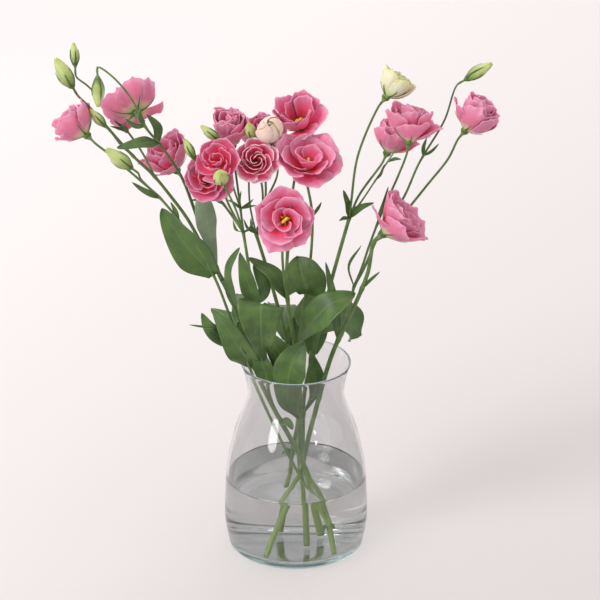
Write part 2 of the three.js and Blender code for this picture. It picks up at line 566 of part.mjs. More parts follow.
function runCurves(stem) {
  const curves = [];
  for (const run of stem.runs) {
    const points = run.points.map(vector);
    if (curves.length > 0) points[0] = nearestOn(curves, run.points[0]);
    if (run.bears) {
      const head = HEADS[run.bears];
      const axis = vector(head.axis).normalize();
      points.push(vector(head.base).addScaledVector(axis, -CALYX.depth * 2.2));
      points.push(vector(head.base).addScaledVector(axis, -CALYX.depth * 0.4));
    }
    curves.push(new THREE.CatmullRomCurve3(points, false, 'centripetal'));
  }
  return curves;
}

function stemRuns(stem, curves, grow) {
  return stem.runs.map((run, k) => {
    const [thick, thin] = run.radii;
    const radius = (share) => lerp(thick, thin, share);
    return solidOf(tubeGeometry(curves[k], radius, thick > 1.7 ? 5 : 4, stepsOf(curves[k]), grow));
  });
}

// The calyx of a head: a small cup round the end of its stem, drawn out into long narrow sepals
// that stand clear round the petals.
function calyxSolid(head, grow) {
  const slope = Math.atan2(head.width ?? 0, 0.7 * (head.length ?? 1));
  const lean = (head.style ? radians(STYLES[head.style][0].root) : slope) + radians(SEPAL.spread);
  const pitch = (2 * Math.PI) / SEPAL.count;
  const polar = (radius, turn, height) => [radius * Math.cos(turn), radius * Math.sin(turn), height];
  const positions = [[0, 0, grow], [0, 0, -CALYX.depth - 1 - grow]];
  const [top, bottom] = [0, 1];
  for (let k = 0; k < SEPAL.count; k += 1) {
    const length = SEPAL.length * (0.85 + 0.3 * draw(k + head.base[0])) + grow;
    positions.push(polar(CALYX.foot + grow, k * pitch, -CALYX.depth - grow));
    positions.push(polar(CALYX.mouth + grow, (k - 0.5) * pitch, grow - CALYX.shoulder));
    positions.push(polar(2 + length * Math.sin(lean), k * pitch, length * Math.cos(lean) - SEPAL.drop));
  }
  const index = [];
  for (let k = 0; k < SEPAL.count; k += 1) {
    const next = (k + 1) % SEPAL.count;
    const [low, valley, tip] = [2 + 3 * k, 3 + 3 * k, 4 + 3 * k];
    const [nextLow, nextValley] = [2 + 3 * next, 3 + 3 * next];
    index.push(top, valley, nextValley, valley, tip, nextValley);
    index.push(valley, low, tip, tip, low, nextValley);
    index.push(low, nextLow, nextValley, bottom, nextLow, low);
  }
  const geometry = new THREE.BufferGeometry();
  geometry.setAttribute('position', new THREE.Float32BufferAttribute(positions.flat(), 3));
  geometry.setIndex(index);
  return solidOf(geometry.applyMatrix4(headFrame(head)));
}

// Leaves. A rib's first point is moved to the stem, and the blade is widest a third of the way up,
// except on a leaf that says where.
// A wide leaf has a fold along its rib and more rows of facets than a narrow one.
function leafWidth(t, peak = 0.36) {
  const foot = peak > 0.5 ? 0.12 : 0.3;
  const rise = clamp(t, 0, 1) / peak;
  if (t < peak) return foot + (1 - foot) * (peak > 0.5 ? rise : Math.sin((Math.PI / 2) * rise));
  return 0.05 + 0.95 * Math.cos((Math.PI / 2) * clamp((t - peak) / (1 - peak), 0, 1)) ** 0.8;
}

function leafPlace(leaf, curves, grow) {
  const points = leaf.rib.map(vector);
  points[0] = nearestOn(curves, leaf.rib[0]);
  const rib = new THREE.CatmullRomCurve3(points, false, 'centripetal');
  const length = rib.getLength();
  const face = vector(leaf.face).normalize();
  const fold = 0.16;
  return (s, t) => {
    const share = clamp(t, 0, 1);
    const tangent = rib.getTangentAt(share);
    const across = tangent.clone().cross(face).normalize();
    const normal = across.clone().cross(tangent).normalize();
    const half = (leaf.width / 2) * leafWidth(t, leaf.widest) + grow;
    return rib.getPointAt(share)
      .addScaledVector(tangent, (t - share) * length)
      .addScaledVector(across, s * half)
      .addScaledVector(normal, fold * half * Math.abs(s) ** 1.5);
  };
}

function leafSolid(leaf, curves, grow) {
  const stations = [0, 1];
  if (leaf.width > 8) stations.splice(1, 0, 0.4);
  if (leaf.width > 15) stations.splice(1, 1, 0.3, 0.68);
  if (leaf.widest) stations.push(leaf.widest);
  stations.sort((a, b) => a - b);
  const length = vector(leaf.rib[0]).distanceTo(vector(leaf.rib[leaf.rib.length - 1]));
  if (grow > 0) stations[stations.length - 1] += grow / length;
  const columns = leaf.width > 8 ? 2 : 1;
  const place = leafPlace(leaf, curves, grow);
  return solidOf(bladeGeometry(place, columns, stations, BLADE.leaf + 2 * grow));
}

// Petals. A whorl's petals rise from the core, lean out and wrap round the bloom's axis.
const PROFILE_STEPS = 24;

function petalProfile(whorl, foot, length, lean) {
  const points = [[whorl.ring, foot]];
  const leans = [];
  for (let k = 0; k <= PROFILE_STEPS; k += 1) {
    const t = k / PROFILE_STEPS;
    const ease = t * t * (3 - 2 * t);
    const curl = whorl.curl * Math.max(0, (t - 0.7) / 0.3) ** 2;
    const angle = radians(lerp(whorl.root, whorl.tip, ease) + curl + lean * t);
    leans.push(angle);
    if (k === PROFILE_STEPS) break;
    const [r, h] = points[k];
    const step = length / PROFILE_STEPS;
    points.push([r + step * Math.sin(angle), h + step * Math.cos(angle)]);
  }
  return (t) => {
    const place = clamp(t, 0, 1) * PROFILE_STEPS;
    const k = Math.min(Math.floor(place), PROFILE_STEPS - 1);
    const share = place - k;
    const angle = lerp(leans[k], leans[k + 1], share);
    const past = (t - clamp(t, 0, 1)) * length;
    return {
      r: lerp(points[k][0], points[k + 1][0], share) + past * Math.sin(angle),
      h: lerp(points[k][1], points[k + 1][1], share) + past * Math.cos(angle),
      angle,
    };
  };
}

// A place on a petal: s runs from -1 to 1 across it and t from 0 to 1 up it.
function petalPlace(bloom, whorl, foot, seed, around, grow) {
  const length = bloom.petal * whorl.length * (0.94 + 0.12 * draw(seed)) + grow;
  const profile = petalProfile(whorl, foot, length, 4 * (draw(seed + 1) - 0.5));
  const reach = (0.84 * Math.PI) / whorl.petals;
  const wave = 0.04 * bloom.petal;
  const frame = headFrame(bloom);
  return (s, t) => {
    const along = t * (1 - 0.2 * s ** 4);
    const { r, h, angle } = profile(along);
    const turn = around + s * reach;
    const ruffle = wave * along ** 3 * Math.sin(7 * turn + whorl.ring);
    const inward = s * whorl.tuck * Math.min(1, along * 1.6) + ruffle;
    const radius = r - inward * Math.cos(angle);
    const height = h + inward * Math.sin(angle);
    return new THREE.Vector3(radius * Math.cos(turn), radius * Math.sin(turn), height).applyMatrix4(frame);
  };
}

// A whorl of petals as one bowl round the axis, which steps out at the edge where a petal tucks
// under its neighbour, and is notched between the petals.
function whorlSolid(bloom, whorl, order, ring, grow) {
  const across = [-1, -0.15, 0.7];
  const foot = FOOT.first + ring * FOOT.step;
  const stations = Array.from({ length: whorl.rows + 1 }, (_, row) => (row / whorl.rows) ** 0.85);
  const columns = [];
  for (let k = 0; k < whorl.petals; k += 1) {
    const seed = order * 53 + ring * 17 + k * 5;
    const around = (2 * Math.PI * (k + ring * 0.5)) / whorl.petals;
    const place = petalPlace(bloom, whorl, foot, seed, around, grow);
    across.forEach((s) => columns.push(stations.map((t) => place(s, t))));
  }
  const centres = [foot - FOOT.below - grow, foot + FOOT.above + grow].map((height) => (
    new THREE.Vector3(0, 0, height).applyMatrix4(headFrame(bloom))
  ));
  return solidOf(bowlGeometry(columns, BLADE.petal + 2 * grow, centres));
}

function bloomSolid(bloom, order, grow) {
  return joined(STYLES[bloom.style].map((whorl, ring) => whorlSolid(bloom, whorl, order, ring, grow)));
}

// A closed bud: a spindle with five ridges that twist to its point.
function budSolid(bud, grow) {
  const [sides, rings] = [10, 5];
  const geometry = new THREE.SphereGeometry(1, sides, rings).rotateX(Math.PI / 2);
  const position = geometry.attributes.position;
  for (let k = 0; k < position.count; k += 1) {
    const place = new THREE.Vector3().fromBufferAttribute(position, k);
    const share = (place.z + 1) / 2;
    const turn = Math.atan2(place.y, place.x) + share * 1.1;
    const girth = Math.hypot(place.x, place.y) < 1e-6 ? 0 : Math.sin(Math.PI * share ** 0.72) ** 0.8;
    const ridge = 1 + 0.1 * Math.cos(5 * Math.atan2(place.y, place.x));
    const radius = girth * ridge * (bud.width / 2) + (girth > 0 ? grow : 0);
    const height = GAP - grow + share * (bud.length + 2 * grow);
    position.setXYZ(k, radius * Math.cos(turn), radius * Math.sin(turn), height);
  }
  return solidOf(geometry.applyMatrix4(headFrame(bud)));
}

// The pistil and the anthers round it, on the core of an open bloom.
function stamensSolid(bloom) {
  const floor = FOOT.first + 2 * FOOT.step + FOOT.above + GAP;
  const style = new THREE.CylinderGeometry(STAMENS.style, STAMENS.foot, STAMENS.height, 4, 1);
  const parts = [style.translate(0, STAMENS.height / 2, 0)];
  for (const side of [-1, 1]) {
    const lobe = new THREE.SphereGeometry(STAMENS.stigma, 4, 3).scale(0.7, 1, 1);
    parts.push(lobe.translate(side * STAMENS.stigma * 0.5, STAMENS.height, 0));
  }
  for (let k = 0; k < STAMENS.anthers; k += 1) {
    const anther = new THREE.ConeGeometry(STAMENS.anther, STAMENS.height * 0.9, 3, 1);
    anther.rotateX(Math.PI).translate(0, STAMENS.height * 0.45, 0).rotateX(0.34);
    parts.push(anther.rotateY((2 * Math.PI * k) / STAMENS.anthers));
  }
  const frame = headFrame(bloom);
  const placed = (part) => part.rotateX(Math.PI / 2).translate(0, 0, floor).applyMatrix4(frame);
  return joined(parts.map((part) => solidOf(placed(part))));
}

// The whole: the vase, then the stems bent clear of each other, then the heads on their calyxes.

const vaseSolid = vase();
const vaseClear = vase(GAP);
const stemNames = Object.keys(STEMS);
const curvesOf = Object.fromEntries(stemNames.map((name) => [name, runCurves(STEMS[name])]));
const headsOf = (name) => STEMS[name].runs.filter((run) => run.bears).map((run) => HEADS[run.bears]);
const greens = (name, grow) => joined([
  ...stemRuns(STEMS[name], curvesOf[name], grow),
  ...headsOf(name).map((head) => calyxSolid(head, grow)),
]);
const greensClear = Object.fromEntries(stemNames.map((name) => [name, greens(name, GAP)]));

const stemSolids = {};
const leavesClear = [];
for (const name of stemNames) {
  const others = stemNames.filter((other) => other !== name).map((other) => greensClear[other]);
  const blades = [...STEMS[name].leaves, ...STEMS[name].bracts];
  const leaves = blades.map((leaf) => (
    cutBy(leafSolid(leaf, curvesOf[name], 0), [vaseClear, ...others, ...leavesClear])
  ));
  stemSolids[name] = largestBody(joined([greens(name, 0), ...leaves]));
  leavesClear.push(...blades.map((leaf) => leafSolid(leaf, curvesOf[name], GAP)));
}

const headCutters = [vaseClear, ...Object.values(greensClear), ...leavesClear];
const headSolids = [];
function addHead(name, colour, make) {
  headSolids.push({ name, colour, solid: make(0), clear: make(GAP) });
}
Object.entries(BLOOMS).forEach(([name, bloom], order) => {
  addHead(`bloom_${name}`, COLOURS.petal, (grow) => bloomSolid(bloom, order, grow));
});
Object.entries(BUDS).forEach(([name, bud], order) => {
  const make = (grow) => (bud.petal ? bloomSolid(bud, order + 20, grow) : budSolid(bud, grow));
  addHead(`bud_${name}`, PALE_BUDS.includes(name) ? COLOURS.cream : COLOURS.bud, make);
});
for (const name of SHOWN_HEARTS) {
  headSolids.push({
    name: `stamens_${name}`,
    colour: COLOURS.stamens,
    solid: stamensSolid(BLOOMS[name]),
    clear: null,
  });
}
for (const head of headSolids) {
  head.solid = largestBody(cutBy(head.solid, headCutters));
  if (head.clear) headCutters.push(head.clear);
}

const lisianthus = new THREE.Group();

function addPiece(name, solid, colour, roughness) {
  const material = new THREE.MeshStandardMaterial({ color: colour, roughness, metalness: 0 });
  const mesh = new THREE.Mesh(geometryOf(solid), material);
  mesh.name = name;
  lisianthus.add(mesh);
}

addPiece('vase', vaseSolid, COLOURS.glass, 0.05);
addPiece('water', water([...Object.values(greensClear), ...leavesClear]), COLOURS.water, 0.02);
for (const name of stemNames) addPiece(name, stemSolids[name], COLOURS.stem, 0.6);
for (const head of headSolids) addPiece(head.name, head.solid, head.colour, 0.6);

export default lisianthus;
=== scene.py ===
from collections import namedtuple
from math import cos, exp, pi, radians, sin

import bmesh
import bpy
from mathutils import Matrix, Vector


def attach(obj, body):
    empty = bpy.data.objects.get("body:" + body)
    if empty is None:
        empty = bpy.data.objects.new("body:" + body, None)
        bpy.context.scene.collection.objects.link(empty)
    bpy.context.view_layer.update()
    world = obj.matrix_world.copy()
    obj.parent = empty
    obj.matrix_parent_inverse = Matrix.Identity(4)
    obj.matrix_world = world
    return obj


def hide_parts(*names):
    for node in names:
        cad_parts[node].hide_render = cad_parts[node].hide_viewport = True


# Cut lisianthus stems in a glass vase of water. The tables are in millimetres, in the frame of the
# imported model: the origin is the centre of the vase's foot, and the front of the bunch faces -Y.

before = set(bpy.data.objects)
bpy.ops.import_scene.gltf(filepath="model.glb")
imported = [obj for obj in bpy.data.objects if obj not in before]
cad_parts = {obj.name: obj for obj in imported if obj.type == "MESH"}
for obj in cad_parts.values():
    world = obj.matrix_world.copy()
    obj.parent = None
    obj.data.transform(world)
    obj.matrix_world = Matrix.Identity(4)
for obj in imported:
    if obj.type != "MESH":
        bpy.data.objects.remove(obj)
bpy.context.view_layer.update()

MM = 0.001

# The camera stands well back and looks down at the bunch, through a long lens.
CAMERA = {"aim": (0.004, 0.0, 0.266), "distance": 5.0, "pitch": 25, "lens": 306, "sensor": 36}


def link(name, data):
    made = bpy.data.objects.new(name, data)
    bpy.context.collection.objects.link(made)
    return made


def set_camera():
    pitch = radians(CAMERA["pitch"])
    back = Vector((0, -cos(pitch), sin(pitch)))
    data = bpy.data.cameras.new("camera")
    data.lens = CAMERA["lens"]
    data.sensor_width = CAMERA["sensor"]
    camera = link("camera", data)
    camera.location = Vector(CAMERA["aim"]) + back * CAMERA["distance"]
    camera.rotation_euler = (pi / 2 - pitch, 0, 0)
    bpy.context.scene.camera = camera


set_camera()

Bloom = namedtuple("Bloom", "style base axis petal turn")
Bud = namedtuple("Bud", "base axis length width turn", defaults=[0])
Run = namedtuple("Run", "radii bears points")
Leaf = namedtuple("Leaf", "width face rib widest", defaults=[0.36])
Stem = namedtuple("Stem", "runs leaves bracts fine")
Whorl = namedtuple("Whorl", "petals length root tip curl ring tuck belly wrap twist", defaults=[0])

# Each whorl of a bloom, from the outside in: how many petals, their length as a share of the
# bloom's petal length, the lean from the bloom's axis at the root and at the tip, how far the tip
# curls back, the radius of the ring of roots, how far a petal's edges step in and out where it
# tucks under its neighbour, how far its middle bellies out, how far it wraps past the middle of
# the gap to its neighbours, and how far it winds round the axis on its way up.
STYLES = {
    "open": [
        Whorl(5, 1.00, 52, 74, 14, 4.4, 2.4, 2.4, 1.50),
        Whorl(4, 0.86, 42, 48, 26, 3.4, 2.4, 2.6, 1.45),
        Whorl(3, 0.66, 24, 30, 26, 1.8, 1.8, 2.0, 1.40),
    ],
    "bell": [
        Whorl(5, 1.00, 46, 28, 26, 4.4, 2.2, 2.6, 1.25),
        Whorl(4, 0.93, 40, 22, 24, 3.8, 2.2, 2.2, 1.30),
        Whorl(4, 0.86, 34, 16, 18, 3.2, 2.0, 2.0, 1.30),
        Whorl(3, 0.70, 20, 8, 10, 2.2, 1.6, 1.4, 1.40),
    ],
    "flute": [
        Whorl(5, 1.00, 38, 18, 32, 4.4, 2.4, 2.4, 1.35),
        Whorl(4, 0.86, 30, 14, 22, 3.0, 2.0, 2.2, 1.35),
    ],
    "furled": [
        Whorl(5, 1.00, 31, 0, 30, 3.3, 2.2, 2.0, 1.30),
        Whorl(4, 0.96, 30, 2, 20, 2.7, 1.8, 1.4, 1.40, 0.2),
        Whorl(3, 0.93, 22, 0, 10, 2.0, 1.6, 1.0, 1.45, 0.4),
        Whorl(3, 0.90, 12, -4, 4, 1.3, 1.2, 0.6, 1.45, 0.6),
    ],
    "half": [
        Whorl(5, 1.00, 70, 24, 24, 4.4, 2.4, 2.6, 1.40),
        Whorl(5, 0.87, 48, 10, 24, 3.2, 2.4, 2.2, 1.35),
        Whorl(3, 0.66, 28, 0, 12, 1.3, 1.6, 1.4, 1.40, 0.3),
    ],
    "rose": [
        Whorl(5, 1.00, 66, 38, 30, 3.3, 2.2, 2.2, 1.35),
        Whorl(4, 0.93, 50, 18, 24, 2.8, 2.4, 2.0, 1.40, 0.1),
        Whorl(3, 0.88, 34, 6, 16, 2.3, 2.6, 1.6, 1.45, 0.3),
        Whorl(3, 0.84, 18, -2, 8, 1.5, 2.2, 0.9, 1.45, 0.4),
    ],
    "cup": [
        Whorl(5, 1.00, 54, -2, 58, 3.3, 2.4, 2.2, 1.25),
        Whorl(4, 0.95, 44, -4, 36, 2.7, 2.2, 1.8, 1.35, 0.1),
        Whorl(3, 0.90, 34, -4, 14, 2.0, 2.0, 1.2, 1.45, 0.3),
        Whorl(3, 0.87, 20, -6, 8, 1.4, 1.6, 0.8, 1.45, 0.4),
    ],
    "goblet": [
        Whorl(5, 1.00, 50, 12, 40, 3.3, 2.4, 2.2, 1.30),
        Whorl(4, 0.94, 40, 6, 28, 2.7, 2.2, 1.8, 1.35, 0.1),
        Whorl(3, 0.88, 28, 0, 12, 2.0, 1.8, 1.2, 1.45, 0.3),
    ],
    "opening": [
        Whorl(5, 1.00, 50, 4, 24, 2.9, 2.0, 1.4, 1.25, 0.2),
        Whorl(4, 0.92, 42, -6, 10, 2.3, 1.6, 1.0, 1.35, 0.3),
        Whorl(3, 0.86, 32, -12, 4, 1.8, 1.4, 0.6, 1.40, 0.4),
    ],
    "ball": [
        Whorl(5, 1.00, 62, -72, 0, 2.9, 0.9, 0.8, 1.50, 1.1),
        Whorl(3, 0.99, 54, -88, 0, 2.3, 0.8, 0.4, 1.50, 1.1),
    ],
}

BLOOMS = {
    "front": Bloom("open", (-10, -46, 373), (-0.03, -0.93, 0.36), 34, 20),
    "wide": Bloom("open", (11, 0, 405), (0.08, -0.38, 0.92), 38, 50),
    "top": Bloom("flute", (5, 46, 429), (-0.16, -0.42, 0.89), 39, 18),
    "mid_spiral": Bloom("rose", (-39, 1, 414), (0.04, -0.88, 0.46), 25, 10),
    "mid_lower": Bloom("open", (-86, 4, 391), (0.05, -0.82, 0.56), 27, 40),
    "mid_upper": Bloom("half", (-74, -13, 418), (-0.2, -0.75, 0.62), 24, 70),
    "mid_back": Bloom("furled", (-62, 28, 419), (-0.05, -0.2, 0.98), 40, 25),
    "mid_hidden": Bloom("cup", (-32, 62, 401), (0.05, -0.3, 0.95), 38, 15),
    "right_low": Bloom("bell", (85, -22, 347), (0.78, 0.08, 0.62), 43, 30),
    "right_upper": Bloom("goblet", (109, -6, 437), (0.16, 0.22, 0.96), 42, 65),
    "right_back": Bloom("goblet", (89, 34, 409), (0.4, 0.15, 0.9), 37, 35),
    "right_outer": Bloom("cup", (164, 9, 443), (0.62, 0.1, 0.78), 40, 5),
    "left_low": Bloom("goblet", (-117, 46, 385), (-0.5, -0.1, 0.86), 39, 55),
    "left_top": Bloom("half", (-154, 12, 460), (-0.38, 0.8, 0.46), 37, 81),
    "left_outer": Bloom("goblet", (-201, -19, 450), (-0.7, 0.3, 0.64), 36, 20),
}

# Petals that don't lean as the rest of their whorl does: the whorl, which way the petal faces,
# and how much further out it leans at its tip.
LEANS = {
    "front": [(0, (0.3, 0, -1), 18), (0, (-0.6, 0, -1), 20), (0, (1, 0, 0.4), -12),
              (1, (0.5, 0, -1), -30), (1, (-1, 0, 0.3), 16),
              (2, (0.3, 0, 1), 30), (2, (-1, 0, 0), 16), (2, (0.6, 0, -1), -14)],
    "wide": [(0, (-0.2, -1, 0), 26), (0, (1, -0.2, 0), 16), (1, (-0.2, -1, 0), 12)],
    "top": [(0, (-1, 0.1, 0), -4), (0, (1, -0.4, 0), 42), (0, (0.2, -1, 0), 66), (0, (0, 1, 0.2), -6)],
    "mid_spiral": [(0, (1, 0, -1), 26), (0, (-1, 0, -1), 16)],
    "mid_upper": [(0, (1, -0.4, -0.6), 34), (0, (-0.4, -0.4, -1), 24)],
    "mid_lower": [(0, (1, 0, 0.2), 36), (0, (-1, 0, 0.2), -20), (0, (0, 0, -1), -12),
                  (1, (0, 0, -1), -18)],
    "mid_hidden": [(0, (-1, -0.3, 0), 26), (0, (1, -0.3, 0), 20)],
    "mid_back": [(0, (0.5, -1, 0), 30)],
    "right_low": [(0, (-1, -0.4, 0.4), 74), (0, (0, -1, 0.2), 22)],
    "right_upper": [(0, (1, -0.6, 0), 52), (0, (-0.3, -1, 0), 26), (0, (1, 0.8, 0), 30)],
    "right_back": [(0, (1, 0, -0.2), 30), (0, (-1, -0.2, 0.3), 16)],
    "right_outer": [(0, (-1, 0, 0.5), 58)],
    "left_top": [(0, (-0.4, -0.2, -1), 56), (0, (0.5, 0, -1), 48), (0, (0, 0, 1), 8),
                 (0, (1, 0, 0.5), -20)],
    "left_outer": [(0, (0, -0.4, -1), 40)],
    "left_low": [(0, (-0.6, -0.8, -0.4), 44)],
}

# How much a style's petals wave and ruffle, beside an open bloom's.
CALM = {"cup": 1.15, "goblet": 1.3, "bell": 1.3, "furled": 0.7, "opening": 0.5, "ball": 0.12}

BUDS = {
    "left_high": Bud((-215, -9, 497), (-0.45, -0.09, 0.89), 33, 15),
    "left_tip": Bud((-213, 22, 506), (-0.05, 0.14, 0.99), 22, 9),
    "left_nodding": Bud((-190, -12, 506), (0.01, -0.23, -0.97), 28, 12),
    "left_slim": Bud((-184, -12, 457), (-0.64, 0, 0.77), 22, 9),
    "left_side": Bud((-159, -37, 424), (-0.71, -0.19, 0.68), 32, 14),
    "mid_left_high": Bud((-75, 3, 436), (-0.76, 0, 0.65), 22, 9),
    "mid_left_low": Bud((-99, 3, 417), (-0.43, 0.16, 0.89), 20, 9),
    "mid_small": Bud((-42, 6, 437), (-0.17, -0.44, 0.88), 21, 11),
    "mid_round": Bud((-71, -40, 412), (-0.08, -0.79, 0.61), 24, 15),
    "right_tip": Bud((165, 16, 494), (0.83, 0, 0.55), 29, 12),
}
PALE_BUDS = {
    "mid_pale": Bloom("ball", (-24, -3, 442), (-0.15, -0.61, 0.78), 31, 0),
    "right_pale": Bloom("opening", (87, 0, 482), (0.62, 0.26, 0.74), 30, 30),
}

# Forks that several branches and sprigs spring from.
LEFT_FORK = (-51, -16, 346)
HIGH_LEFT_FORK = (-54, 0, 365)
MIDDLE_FORK = (-39, 12, 332)
INNER_FORK = (52, 3, 353)
RIGHT_FORK = (57, 12, 275)

